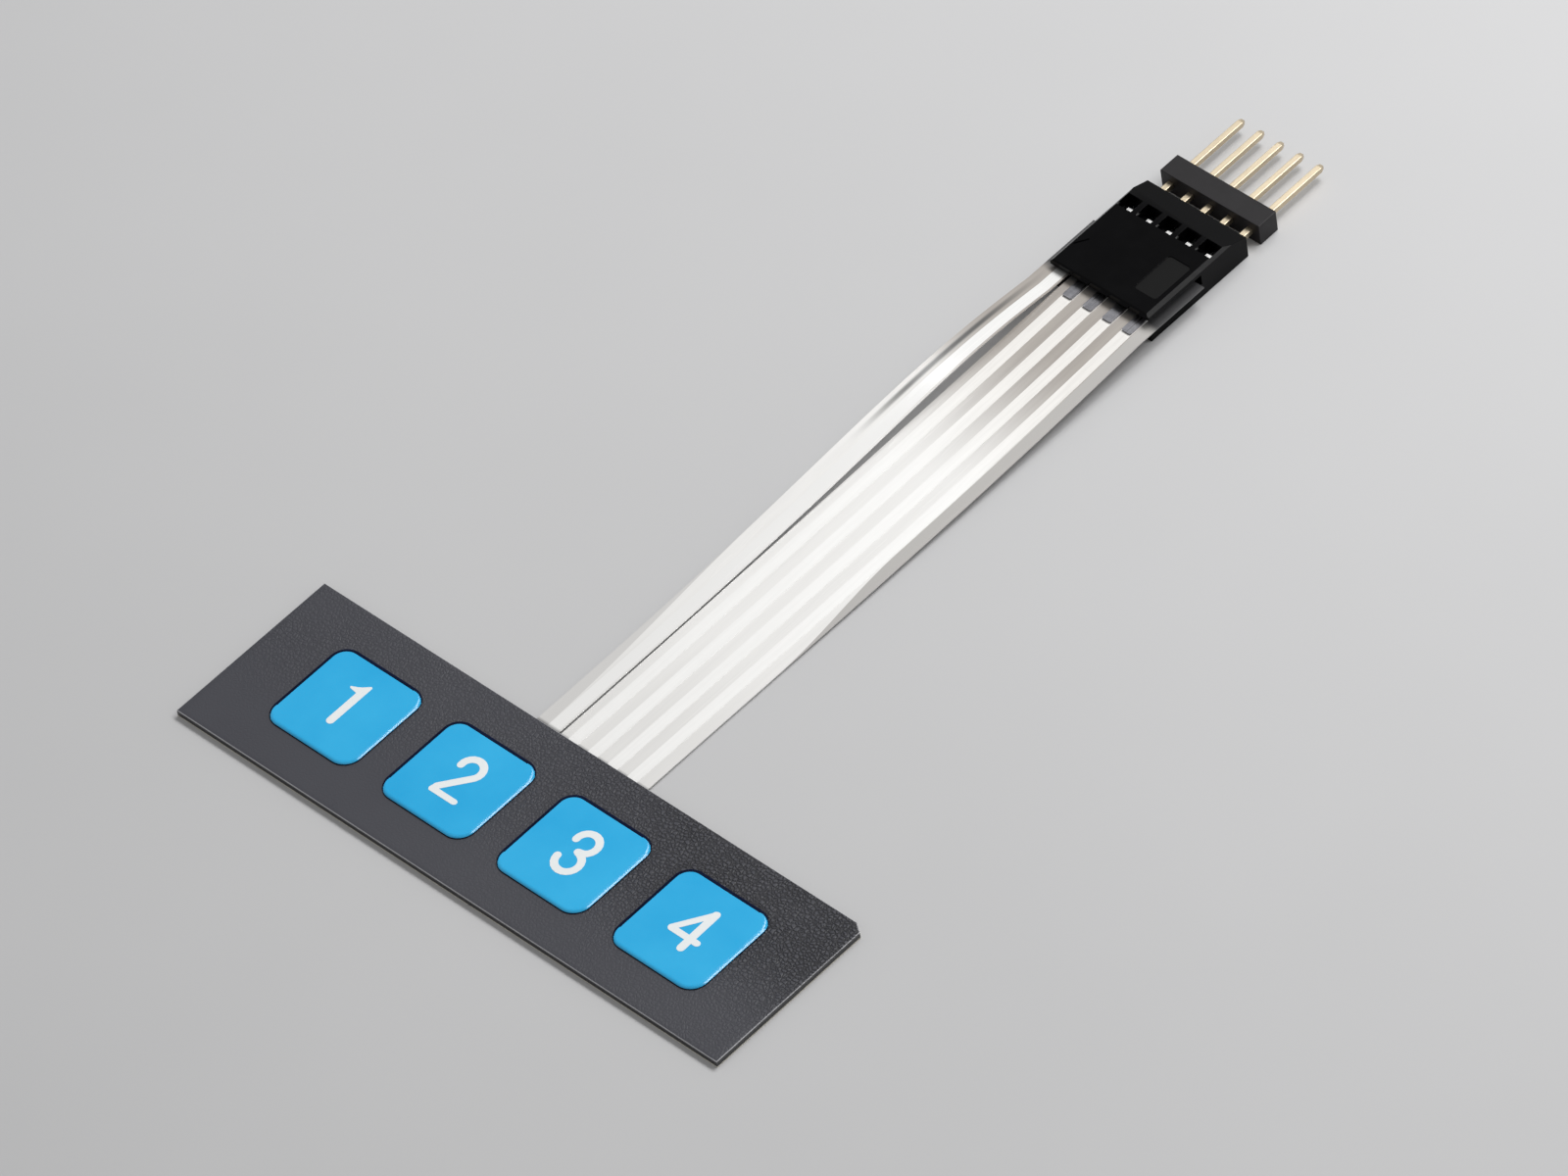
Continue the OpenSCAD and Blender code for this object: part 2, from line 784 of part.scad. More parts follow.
graphic_overlay();
key_print(0);  // key_print_1
key_print(1);  // key_print_2
key_print(2);  // key_print_3
key_print(3);  // key_print_4
figure(0);  // figure_1
figure(1);  // figure_2
figure(2);  // figure_3
figure(3);  // figure_4
overlay_adhesive();
upper_circuit_film();
common_conductor();
circuit_spacer();
key_conductor(0);  // key_conductor_1
key_conductor(1);  // key_conductor_2
key_conductor(2);  // key_conductor_3
key_conductor(3);  // key_conductor_4
lower_circuit_film();
rear_adhesive();
liner_left();
liner_right();
connector_housing();
contact(0);  // contact_1
contact(1);  // contact_2
contact(2);  // contact_3
contact(3);  // contact_4
contact(4);  // contact_5
header_body();
header_pin(0);  // header_pin_1
header_pin(1);  // header_pin_2
header_pin(2);  // header_pin_3
header_pin(3);  // header_pin_4
header_pin(4);  // header_pin_5
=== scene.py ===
# %% [markdown]
# # A four-key membrane keypad
# The object is a thin stack of printed films with four embossed blue keys, a film tail with silver
# conductors, and a small black connector with a pin header plugged into it. This lesson loads the
# exact solids first and dresses them: smooth sheets replace the films, rounded copies replace the
# mouldings, and every surface gets a material made of nodes.

import bmesh
import bpy
import numpy as np
from mathutils import Matrix, Vector


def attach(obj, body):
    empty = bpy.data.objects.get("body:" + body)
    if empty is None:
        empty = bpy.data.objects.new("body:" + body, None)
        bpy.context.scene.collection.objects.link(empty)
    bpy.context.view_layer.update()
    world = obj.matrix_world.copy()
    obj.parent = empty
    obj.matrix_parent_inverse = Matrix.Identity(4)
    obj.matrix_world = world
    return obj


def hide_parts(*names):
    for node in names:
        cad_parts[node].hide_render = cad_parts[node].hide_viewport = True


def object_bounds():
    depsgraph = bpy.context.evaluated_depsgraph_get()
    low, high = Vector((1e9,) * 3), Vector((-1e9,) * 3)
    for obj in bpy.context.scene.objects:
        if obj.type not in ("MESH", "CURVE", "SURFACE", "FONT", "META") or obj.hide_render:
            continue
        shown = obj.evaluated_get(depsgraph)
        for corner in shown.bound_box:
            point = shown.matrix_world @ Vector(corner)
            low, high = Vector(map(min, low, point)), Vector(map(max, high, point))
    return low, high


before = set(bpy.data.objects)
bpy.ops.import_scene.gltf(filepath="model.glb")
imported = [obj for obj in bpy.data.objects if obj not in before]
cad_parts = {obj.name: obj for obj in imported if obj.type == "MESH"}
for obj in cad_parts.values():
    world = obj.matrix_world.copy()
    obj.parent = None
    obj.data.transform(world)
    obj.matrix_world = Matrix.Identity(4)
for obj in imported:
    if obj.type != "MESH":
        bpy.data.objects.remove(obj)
cad_low, cad_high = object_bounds()
MM = 0.001
scene = bpy.context.scene
scene.view_settings.view_transform = "Standard"
box_mm = [round(v / MM, 2) for v in cad_high - cad_low]
print("frame loaded with", len(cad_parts), "nodes, box in mm", box_mm)

# %% [markdown]
# ## Camera
# The photograph looks down from the front right. A camera was fitted to points marked in it, with
# the keypad held at its listed size and the pins at their standard pitch, because the picture alone
# does not fix the lens. The three axes of that camera are written down as they came out: to the
# right in the picture, down in the picture, and into the picture. Its long focal length keeps the
# lines of the tail almost parallel, as in the photograph.

# %% Camera
look_right = Vector((0.72676, 0.67710, -0.11560))
look_down = Vector((0.45061, -0.59698, -0.66374))
look_in = Vector((-0.51843, 0.43029, -0.73897))
camera_place = Vector((0.564990, -0.432447, 0.805353))
SENSOR_MM, LENS_MM = 36, 265.98
optics = bpy.data.cameras.new("camera")
optics.sensor_width = SENSOR_MM
optics.lens = LENS_MM
camera = bpy.data.objects.new("camera", optics)
scene.collection.objects.link(camera)
axes = Matrix((look_right, -look_down, -look_in)).transposed()
camera.matrix_world = Matrix.Translation(camera_place) @ axes.to_4x4()
scene.camera = camera
print("camera", round(camera_place.length, 3), "m from the keypad")

# %% [markdown]
# ## Sizes
# The sheets repeat the sizes of the solids, in millimetres, because they lie exactly where the
# solids lie. Heights are those of the layers, from the release liner at the bottom up to the
# overlay. The places across the tail are those of the five conductors.

# %% Sizes of the layers and of the tail
PAD_L, PAD_W, CLIP_L, CLIP_W = 70.0, 20.0, 1.0, 0.7
Z_LOWER, Z_UPPER, FILM_T = 0.15, 0.425, 0.125
Z_OVERLAY, Z_TOP = 0.60, 0.80
KEYS, KEY_PITCH = 4, 14.9
KEY_X = KEY_PITCH * (np.arange(KEYS) - 1.5)
KEY_SIZE, KEY_R, KEY_RISE, KEY_SHOULDER, KEY_INK, KEY_WALL = 11.3, 1.9, 0.3, 0.4, 0.03, 0.2
WAYS, PITCH, TRACE_W, CONN_X = 5, 2.54, 1.25, 0.45
TRACE_X = PITCH * (np.arange(WAYS) - 2)
TAIL_W, TRACE_MARGIN, TAIL_SLIT = 14.2, 0.2, 0.1
STRIP_OUT, STRIP_IN = -TAIL_W / 2, TRACE_X[0] + TRACE_W / 2 + TRACE_MARGIN
TAIL_LEFT, TAIL_RIGHT = STRIP_IN + TAIL_SLIT, TAIL_W / 2
Y_PAD, Y_FLAT, Y_FILM = 10.0, 78.6, 88.0
Z_FILM, Z_STRIP = 1.97, 2.355
print("wide tail", round(TAIL_RIGHT - TAIL_LEFT, 3), "mm")
print("narrow strip", round(STRIP_IN - STRIP_OUT, 3), "mm")

# %% [markdown]
# ## From arrays to meshes
# A surface here is a table of points: one parameter counts the rows, the other the columns. The
# first helper numbers the corners of every cell of such a table. The second puts points and faces
# into a mesh, joins points that coincide so that seams and poles are closed, turns the faces
# outwards and shades the surface smoothly up to a given angle.

# %% Mesh helpers
WELD, TOUCH = 0.0005, 0.001


def grid_cells(rows, columns, wrap=False):
    """Corner numbers of each cell of a table of points; wrap joins the last column to the first."""
    last = columns if wrap else columns - 1
    i, j = np.meshgrid(np.arange(rows - 1), np.arange(last), indexing="ij")
    k = (j + 1) % columns
    corners = [i * columns + j, i * columns + k, (i + 1) * columns + k, (i + 1) * columns + j]
    return np.stack(corners, -1).reshape(-1, 4)


def tidy_mesh(mesh, weld, angle):
    """Welds points within weld millimetres, turns faces outwards, smooths edges below angle degrees."""
    work = bmesh.new()
    work.from_mesh(mesh)
    bmesh.ops.remove_doubles(work, verts=work.verts, dist=weld * MM)
    bmesh.ops.recalc_face_normals(work, faces=work.faces)
    work.to_mesh(mesh)
    work.free()
    mesh.polygons.foreach_set("use_smooth", np.ones(len(mesh.polygons), bool))
    mesh.set_sharp_from_angle(angle=np.radians(angle))


def sheet_piece(name, points, faces, angle=40):
    """A piece from an array of points in millimetres and a list of faces."""
    mesh = bpy.data.meshes.new(name)
    mesh.from_pydata((np.asarray(points) * MM).tolist(), [], [list(map(int, f)) for f in faces])
    tidy_mesh(mesh, WELD, angle)
    piece = bpy.data.objects.new(name, mesh)
    scene.collection.objects.link(piece)
    return piece


def mark_points(piece, name, values):
    """Stores one number for each point of a piece, worked out from the points' own places."""
    layer = piece.data.attributes.new(name, "FLOAT", "POINT")
    layer.data.foreach_set("value", np.asarray(values, np.float32))


def places(piece):
    """The places of a piece's points as an array in millimetres."""
    flat = np.empty(len(piece.data.vertices) * 3, np.float32)
    piece.data.vertices.foreach_get("co", flat)
    return flat.reshape(-1, 3).astype(float) / MM


def face_centres(piece):
    """The middles of a piece's faces as an array in millimetres."""
    flat = np.empty(len(piece.data.polygons) * 3, np.float32)
    piece.data.polygons.foreach_get("center", flat)
    return flat.reshape(-1, 3) / MM


def stands_for(piece, slot, *nodes):
    """Rides the piece with the keypad and hides the solids it stands for; slot is not used."""
    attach(piece, "root")
    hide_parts(*nodes)
    print(piece.name, "has", len(piece.data.polygons), "faces and stands for", ", ".join(nodes))


# %% [markdown]
# ## The embossed overlay
# The front film is one sheet, pushed up at four places into pillows with rounded shoulders. A
# height map on a square grid would leave stair steps around the keys. Here each key has its own
# table instead: the columns run around the key, and the rows run from the middle of the key over
# its shoulder and out to the edge of the key's share of the sheet. Neighbouring shares meet point
# for point, so welding makes one sheet of them.

# %% Outlines around one key
BEND, RUN = 6, 12


def key_outline(half, radius):
    """Rounded square: along each side a half corner arc, a straight run, and the next half arc."""
    c = half - radius
    low = np.radians(np.linspace(-45, 0, BEND + 1))
    high = np.radians(np.linspace(0, 45, BEND + 1))
    run = np.linspace(-c, c, RUN + 1)[1:-1]
    x = np.concatenate([c + radius * np.cos(low), np.full(RUN - 1, half), c + radius * np.cos(high)])[:-1]
    y = np.concatenate([-c + radius * np.sin(low), run, c + radius * np.sin(high)])[:-1]
    sides = [np.stack([x, y]), np.stack([-y, x]), np.stack([-x, -y]), np.stack([y, -x])]
    return np.concatenate(sides, axis=1).T


SIDE = 2 * BEND + RUN
EDGE_ROUND = 0.08


def share_edge(k, inset):
    """Edge of one key's share of the sheet: a rectangle, with as many points on each side as the key."""
    first, last = k == 0, k == KEYS - 1
    left = -PAD_L / 2 + inset if first else KEY_X[k] - KEY_PITCH / 2
    right = PAD_L / 2 - inset if last else KEY_X[k] + KEY_PITCH / 2
    low, high = -PAD_W / 2 + inset, PAD_W / 2 - inset
    f, still = np.arange(SIDE) / SIDE, np.ones(SIDE)
    x = np.concatenate([right * still, right + (left - right) * f, left * still, left + (right - left) * f])
    y = np.concatenate([low + (high - low) * f, high * still, high + (low - high) * f, low * still])
    if last:
        y[SIDE] -= CLIP_W
        x[SIDE + 1] = right - CLIP_L
    return np.stack([x, y], -1)


print("points around one key:", 4 * SIDE)

# %% [markdown]
# The pillow itself is a quarter ellipse carried around the outline: the inset grows as one minus
# the cosine of the angle and the height as its sine. The same rows serve for the top of the sheet,
# for the hollow under it and for the blue print.

# %% Rows of points over a pillow
SHOULDER_ROWS = 12
FLAT_SHARES = (0, 0.3, 0.6, 0.85, 0.985)
OUTWARD_SHARES = np.array([0.04, 0.1, 0.2, 0.35, 0.5, 0.65, 0.8, 0.9, 1.0])[:, None, None]


def pillow_rows(x, half, radius, shoulder, foot, rise):
    """Rings from the middle of a key to its foot; inset and height follow a quarter ellipse."""
    inner = key_outline(half - shoulder, radius - shoulder)
    top = np.full(len(inner), foot + rise)
    rings = [np.column_stack([inner * share, top]) for share in FLAT_SHARES]
    for a in np.radians(np.linspace(90, 0, SHOULDER_ROWS + 1)):
        inset = shoulder * (1 - np.cos(a))
        outline = key_outline(half - inset, radius - inset)
        rings.append(np.column_stack([outline, np.full(len(outline), foot + rise * np.sin(a))]))
    return np.array(rings) + [x, 0, 0]


def sheet_rows(k, half, radius, shoulder, foot, edge):
    """The pillow's rings and then rings that pass evenly from its foot to the edge of its share."""
    pillow = pillow_rows(KEY_X[k], half, radius, shoulder, foot, KEY_RISE)
    out = np.column_stack([edge, np.full(len(edge), foot)])
    return np.concatenate([pillow, pillow[-1] + (out - pillow[-1]) * OUTWARD_SHARES])


print("rows over one key:", len(FLAT_SHARES) + SHOULDER_ROWS + 1 + len(OUTWARD_SHARES))

# %% [markdown]
# The sheet has a thickness, so it gets a top table and a bottom table for each key, and a narrow
# wall around the whole keypad with a tiny rounded upper edge, as a die leaves it. An attribute
# marks that cut edge, coloured paler: partly the film's paler core and partly a painted highlight.
# A second attribute marks the wall below it, which is painted dark as painted shade.

# %% Overlay sheet
EDGE_ROWS, EDGE_SHARE, WALL_DROP = 3, 0.9, 0.01
pillow = KEY_SIZE / 2, KEY_R, KEY_SHOULDER
hollow = KEY_SIZE / 2 - KEY_WALL, KEY_R - KEY_WALL, KEY_SHOULDER - KEY_WALL / 2
tables = []
for k in range(KEYS):
    tables.append(sheet_rows(k, *pillow, Z_TOP, share_edge(k, EDGE_ROUND)))
    tables.append(sheet_rows(k, *hollow, Z_OVERLAY, share_edge(k, 0)))


def pad_edge(inset):
    """Edge of the whole keypad, front side first, put together from the shares of the four keys."""
    shares = [share_edge(k, inset) for k in range(KEYS)]
    front = [s[3 * SIDE :] for s in shares]
    back = [s[SIDE : 2 * SIDE] for s in reversed(shares)]
    return np.concatenate(front + [shares[-1][:SIDE]] + back + [shares[0][2 * SIDE : 3 * SIDE]])


wall = []
for a in np.radians(np.linspace(90, 0, EDGE_ROWS + 1)):
    line = pad_edge(EDGE_ROUND * (1 - np.cos(a)))
    wall.append(np.column_stack([line, np.full(len(line), Z_TOP - EDGE_ROUND * (1 - np.sin(a)))]))
line = pad_edge(0)
wall.append(np.column_stack([line, np.full(len(line), Z_OVERLAY)]))
tables.append(np.array(wall))
points, faces = [], []
for table in tables:
    faces.append(grid_cells(table.shape[0], table.shape[1], wrap=True) + sum(len(p) for p in points))
    points.append(table.reshape(-1, 3))
overlay = sheet_piece("overlay_sheet", np.concatenate(points), np.concatenate(faces))
spot = places(overlay)
reach = np.maximum(np.abs(spot[:, 0]) - PAD_L / 2, np.abs(spot[:, 1]) - PAD_W / 2)
at_cut_highlight = (reach > -EDGE_SHARE * EDGE_ROUND) & (spot[:, 2] > Z_TOP - EDGE_ROUND - TOUCH)
mark_points(overlay, "cut_edge_highlight", at_cut_highlight)
mark_points(overlay, "wall", spot[:, 2] < Z_TOP - EDGE_ROUND - WALL_DROP)
stands_for(overlay, "overlay", "graphic_overlay")

# %% [markdown]
# ## The blue print on the keys
# The colour on a key is a thin skin over the pillow. Its outer rings are those of the pillow, grown
# by the thickness of the ink, and its inner rings are the pillow's own. One table that goes out
# over the top and back underneath closes the skin. The two far edges of each key get painted shade:
# the faces of a narrow rim there are given to a second, navy material.

# %% Blue skins
RIM_W, RIM_SPREAD, TINY = 0.45, 0.3, 1e-9
RIM_SIDE = np.array([-1, 1]) / np.sqrt(2)


def shade_rim(spot):
    """True nearer to the edge than a width that is full on the two far sides and fades to none."""
    arm = np.maximum(np.abs(spot) - (KEY_SIZE / 2 - KEY_R), 0)
    reach = np.linalg.norm(arm, axis=1) + TINY
    lean = (np.sign(spot) * arm) @ RIM_SIDE / reach
    return KEY_R - reach < RIM_W * np.clip(lean + RIM_SPREAD, 0, 1)


grown = KEY_SIZE / 2 + KEY_INK, KEY_R + KEY_INK, KEY_SHOULDER
key_skins = []
for k in range(KEYS):
    outer = pillow_rows(KEY_X[k], *grown, Z_TOP, KEY_RISE + KEY_INK)
    inner = pillow_rows(KEY_X[k], *pillow, Z_TOP, KEY_RISE)
    table = np.concatenate([outer, inner[::-1]])
    cells = grid_cells(len(table), 4 * SIDE, wrap=True)
    skin = sheet_piece(f"key_skin_{k + 1}", table.reshape(-1, 3), cells)
    # The faces of the rim on the two far edges get the navy painted shade.
    rim_shade_faces = shade_rim(face_centres(skin)[:, :2] - [KEY_X[k], 0])
    skin.data.polygons.foreach_set("material_index", rim_shade_faces.astype(np.int32))
    stands_for(skin, "key_blue", f"key_print_{k + 1}")
    key_skins.append(skin)

# %% [markdown]
# ## The film tail
# The tail leaves the keypad flat and climbs ever more steeply to the connector. A narrow strip
# belongs to the upper film and bows up on its way; the wide part belongs to the lower film and
# tilts a little. Both follow the formulas of the solids, on many more places along the tail, so
# that the gloss runs over them without a break.

# %% Shape of the tail
TILT, BOW, CURL = 0.5, 1.15, 0.5
TAIL_ROWS, SLOT_ROWS = 140, 12


def share_of(y):
    """Share of the way from the keypad to the connector."""
    return np.clip((y - Y_PAD) / (Y_FLAT - Y_PAD), 0, 1)


def drift(u):
    """Sideways drift towards the connector, a smooth step."""
    return CONN_X * u * u * (3 - 2 * u)


def sway(u):
    """A hump that is zero at both ends and leans towards the connector."""
    return np.sin(np.pi * u**1.5)


def wide_height(x, u):
    """A square-law climb plus a tilt about the tail's middle line."""
    middle, width = (TAIL_LEFT + TAIL_RIGHT) / 2, TAIL_RIGHT - TAIL_LEFT
    return Z_LOWER + (Z_FILM - Z_LOWER) * u * u + TILT * sway(u) * (middle - x) / width


def strip_height(x, u):
    """The same climb, a bow before the connector and a curl of the outer edge."""
    curl = CURL * sway(u) ** 2 * (STRIP_IN - x) / (STRIP_IN - STRIP_OUT)
    return Z_UPPER + (Z_STRIP - Z_UPPER) * u * u + BOW * np.sin(np.pi * u**3) + curl


free = np.linspace(Y_PAD, Y_FLAT, TAIL_ROWS + 1)
held = np.linspace(Y_FLAT, Y_FILM, SLOT_ROWS + 1)
stations = np.concatenate([free, held[1:]])
print("places along the tail:", len(stations))

# %% [markdown]
# Each film is one closed sheet: the keypad's own outline with the tail growing out of its back
# edge. The last row of the outline and the first row of the tail share their points, so there is
# no seam where the tail leaves the keypad.

# %% Films with their tails
def film_piece(name, columns, height, z_pad):
    """Keypad outline and tail table, each below and above, and the walls between them."""
    rows, n = len(stations), len(columns)
    y, x = np.meshgrid(stations, columns, indexing="ij")
    u = share_of(y)
    bottom = np.stack([x + drift(u), y, height(x, u)], -1).reshape(-1, 3)
    corner = np.array([[-1, 1], [-1, -1], [1, -1], [1, 1], [1, 1]]) * [PAD_L / 2, PAD_W / 2]
    corner[3, 1] -= CLIP_W
    corner[4, 0] -= CLIP_L
    pad = np.column_stack([corner, np.full(len(corner), z_pad)])
    low = np.concatenate([bottom, pad])
    count = len(low)
    points = np.concatenate([low, low + [0, 0, FILM_T]])
    cells = grid_cells(rows, n)
    left_side = np.arange(0, rows * n, n)
    far_end = np.arange((rows - 1) * n + 1, rows * n)
    right_side = np.arange((rows - 1) * n - 1, 0, -n)
    around_pad = rows * n + np.arange(len(corner))[::-1]
    rim = np.concatenate([left_side, far_end, right_side, around_pad])
    outline = list(range(n)) + around_pad.tolist()
    after = np.roll(rim, -1)
    walls = np.stack([rim, after, after + count, rim + count], -1)
    caps = [outline, [i + count for i in outline]]
    faces = cells.tolist() + (cells + count).tolist() + walls.tolist() + caps
    return sheet_piece(name, points, faces, angle=30)


def with_steps(edges, step):
    """Places across a film: the given edges with even steps between them."""
    spans = zip(edges[:-1], edges[1:])
    parts = [np.linspace(a, b, max(int((b - a) / step), 1) + 1)[:-1] for a, b in spans]
    return np.concatenate(parts + [edges[-1:]])


# %% The two films
STRIP_STEP, WIDE_STEP = 0.4, 0.6
trace_left, trace_right = TRACE_X - TRACE_W / 2, TRACE_X + TRACE_W / 2
strip_edges = np.array([STRIP_OUT, trace_left[0], trace_right[0], STRIP_IN])
trace_edges = np.sort(np.concatenate([trace_left[1:], trace_right[1:]]))
wide_edges = np.concatenate([[TAIL_LEFT], trace_edges, [TAIL_RIGHT]])
upper_film = film_piece("upper_film", with_steps(strip_edges, STRIP_STEP), strip_height, Z_UPPER)
lower_film = film_piece("lower_film", with_steps(wide_edges, WIDE_STEP), wide_height, Z_LOWER)
for film, solid in ((upper_film, "upper_circuit_film"), (lower_film, "lower_circuit_film")):
    spot = places(film)
    across = spot[:, 0] - drift(share_of(spot[:, 1]))
    mark_points(film, "across", across)
    mark_points(film, "inside_pad", spot[:, 1] < Y_PAD + TOUCH)
    stands_for(film, "film", solid)

# %% [markdown]
# ## Mouldings with rounded edges
# The housing and the header are injection moulded, and no moulded edge is razor sharp. Their
# solids already have the right shape, so a copy of each mesh is welded, its flat triangles are
# joined into larger faces and a Bevel modifier rounds the edges. A thin bright line along each
# edge is what makes black plastic read as plastic.

# %% Rounded copies of the mouldings
FLAT_DEG, SHARP_DEG, BEVEL_DEG = 0.5, 35, 30
HOUSING_EDGE, HEADER_EDGE = 0.06, 0.07


def rounded_copy(name, node, slot, width):
    """A welded copy of a solid with every sharp edge rounded by width millimetres."""
    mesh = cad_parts[node].data.copy()
    mesh.name = name
    work = bmesh.new()
    work.from_mesh(mesh)
    bmesh.ops.remove_doubles(work, verts=work.verts, dist=WELD * MM)
    flat = np.radians(FLAT_DEG)
    bmesh.ops.dissolve_limit(work, angle_limit=flat, verts=work.verts, edges=work.edges)
    work.to_mesh(mesh)
    work.free()
    if "custom_normal" in mesh.attributes:
        mesh.attributes.remove(mesh.attributes["custom_normal"])
    piece = bpy.data.objects.new(name, mesh)
    scene.collection.objects.link(piece)
    mesh.polygons.foreach_set("use_smooth", np.ones(len(mesh.polygons), bool))
    mesh.set_sharp_from_angle(angle=np.radians(SHARP_DEG))
    bevel = piece.modifiers.new("edges", "BEVEL")
    bevel.width = width * MM
    bevel.segments = 2
    bevel.limit_method = "ANGLE"
    bevel.angle_limit = np.radians(BEVEL_DEG)
    bevel.harden_normals = True
    mesh.materials.clear()
    stands_for(piece, slot, node)
    return piece


housing = rounded_copy("housing", "connector_housing", "housing", HOUSING_EDGE)
header = rounded_copy("header", "header_body", "header", HEADER_EDGE)

# %% Mark the sunk panel in the housing's top
PANEL_LOW, PANEL_HIGH = np.array([3.1, 82.9, 3.49]), np.array([6.0, 88.3, 3.51])
centre = face_centres(housing)
on_panel = np.all((centre > PANEL_LOW) & (centre < PANEL_HIGH), axis=1)
layer = housing.data.attributes.new("panel", "FLOAT", "FACE")
layer.data.foreach_set("value", on_panel.astype(np.float32))
print("faces of the sunk panel:", int(on_panel.sum()))

# %% [markdown]
# ## Header pins
# A pin is cut from square wire and its ends are pressed to a blunt point. The profile is a square
# with softly rounded corners; it is carried along the pin's length and shrinks towards both ends.

# %% Pins
PIN_W, PIN_Z, PIN_START, PIN_END, PIN_TAPER = 0.64, 1.27, 89.3, 107.34, 0.4
PIN_R, FLAT_SHARE, PLAIN_FROM, PLAIN_ROWS = 0.025, 0.8, 1, 30


def wire_profile(half, radius, steps=4):
    """A square with an arc at each corner, and a point on the flat beside each end of the arc."""
    c, a = half - radius, np.radians(np.linspace(0, 90, steps + 1))
    arc_x = np.concatenate([[half], c + radius * np.cos(a), [FLAT_SHARE * c]])
    arc_z = np.concatenate([[FLAT_SHARE * c], c + radius * np.sin(a), [half]])
    corners = [(arc_x, arc_z), (-arc_z, arc_x), (-arc_x, -arc_z), (arc_z, -arc_x)]
    return np.concatenate([np.stack(corner, -1) for corner in corners])


y_along = np.array([0, 0, 0.015, 0.05, PIN_TAPER - 0.05, PIN_TAPER, PIN_TAPER + 0.06])
width_at = np.array([0.0, 0.58, 0.635, 0.675, 0.94, 0.985, 1.0])
plain = np.linspace(PIN_START + PLAIN_FROM, PIN_END - PLAIN_FROM, PLAIN_ROWS)
y_pin = np.concatenate([PIN_START + y_along, plain, (PIN_END - y_along)[::-1]])
size = np.concatenate([width_at, np.ones(PLAIN_ROWS), width_at[::-1]])[:, None]
profile = wire_profile(PIN_W / 2, PIN_R)
pins = []
for k in range(WAYS):
    x = profile[:, 0] * size + CONN_X + TRACE_X[k]
    z = profile[:, 1] * size + PIN_Z
    table = np.stack([x, np.broadcast_to(y_pin[:, None], x.shape), z], -1)
    cells = grid_cells(*x.shape, wrap=True)
    pin = sheet_piece(f"pin_{k + 1}", table.reshape(-1, 3), cells, angle=30)
    stands_for(pin, "pin", f"header_pin_{k + 1}")
    pins.append(pin)

# %% [markdown]
# ## Shared effects
# Several finishes need the same few things: a fine grain, a slow wander of tone, streaks along one
# direction, and a rise between two places along the tail. Each is a shader node group with named
# sockets, made once; the leather grain of the overlay is built the same way. The groups read Object
# coordinates, so their sizes are real sizes on the part.

# %% Helpers for node trees
PER_M = 1000.0


def node(tree, kind, values=None, **settings):
    """A new node with its settings, and its unlinked inputs set by name or number."""
    made = tree.nodes.new(kind)
    for key, value in settings.items():
        setattr(made, key, value)
    for key, value in (values or {}).items():
        made.inputs[key].default_value = value
    return made


def effect_group(name, inputs, outputs):
    """An empty shader group with number inputs (name, default) and number outputs."""
    tree = bpy.data.node_groups.new(name, "ShaderNodeTree")
    for label, default in inputs:
        socket = tree.interface.new_socket(name=label, in_out="INPUT", socket_type="NodeSocketFloat")
        socket.default_value = default
    for label in outputs:
        tree.interface.new_socket(name=label, in_out="OUTPUT", socket_type="NodeSocketFloat")
    return tree, tree.nodes.new("NodeGroupInput"), tree.nodes.new("NodeGroupOutput")


# %% Group: pebbled grain
sockets = [("Cells per mm", 4.0), ("Softness", 0.6)]
grain, g_in, g_out = effect_group("Pebbled grain", sockets, ["Height"])
where = node(grain, "ShaderNodeTexCoord")
per_m = node(grain, "ShaderNodeMath", {1: PER_M}, operation="MULTIPLY")
cells = node(grain, "ShaderNodeTexVoronoi", feature="SMOOTH_F1")
fine = node(grain, "ShaderNodeTexNoise", {"Detail": 3.0, "Roughness": 0.6})
both = node(grain, "ShaderNodeMix", {0: 0.45}, data_type="FLOAT")
grain.links.new(g_in.outputs["Cells per mm"], per_m.inputs[0])
for texture in (cells, fine):
    grain.links.new(where.outputs["Object"], texture.inputs["Vector"])
    grain.links.new(per_m.outputs[0], texture.inputs["Scale"])
grain.links.new(g_in.outputs["Softness"], cells.inputs["Smoothness"])
grain.links.new(cells.outputs["Distance"], both.inputs[2])
grain.links.new(fine.outputs["Fac"], both.inputs[3])
grain.links.new(both.outputs[0], g_out.inputs["Height"])
print("group:", grain.name)

# %% Group: leather grain, cells parted by creases
leather, l_in, l_out = effect_group("Leather grain", [("Cells per mm", 3.0)], ["Height"])
where = node(leather, "ShaderNodeTexCoord")
per_m = node(leather, "ShaderNodeMath", {1: PER_M}, operation="MULTIPLY")
warp = node(leather, "ShaderNodeTexNoise", {"Scale": 1800.0, "Detail": 2.0})
push = node(leather, "ShaderNodeVectorMath", {3: 0.0004}, operation="SCALE")
moved = node(leather, "ShaderNodeVectorMath", operation="ADD")
cells = node(leather, "ShaderNodeTexVoronoi", feature="DISTANCE_TO_EDGE")
plateau = node(leather, "ShaderNodeMapRange", {1: 0.0, 2: 0.3}, interpolation_type="SMOOTHSTEP")
leather.links.new(l_in.outputs["Cells per mm"], per_m.inputs[0])
leather.links.new(where.outputs["Object"], warp.inputs["Vector"])
leather.links.new(warp.outputs["Color"], push.inputs[0])
leather.links.new(where.outputs["Object"], moved.inputs[0])
leather.links.new(push.outputs[0], moved.inputs[1])
leather.links.new(moved.outputs[0], cells.inputs["Vector"])
leather.links.new(per_m.outputs[0], cells.inputs["Scale"])
leather.links.new(cells.outputs["Distance"], plateau.inputs[0])
leather.links.new(plateau.outputs[0], l_out.inputs["Height"])
print("group:", leather.name)

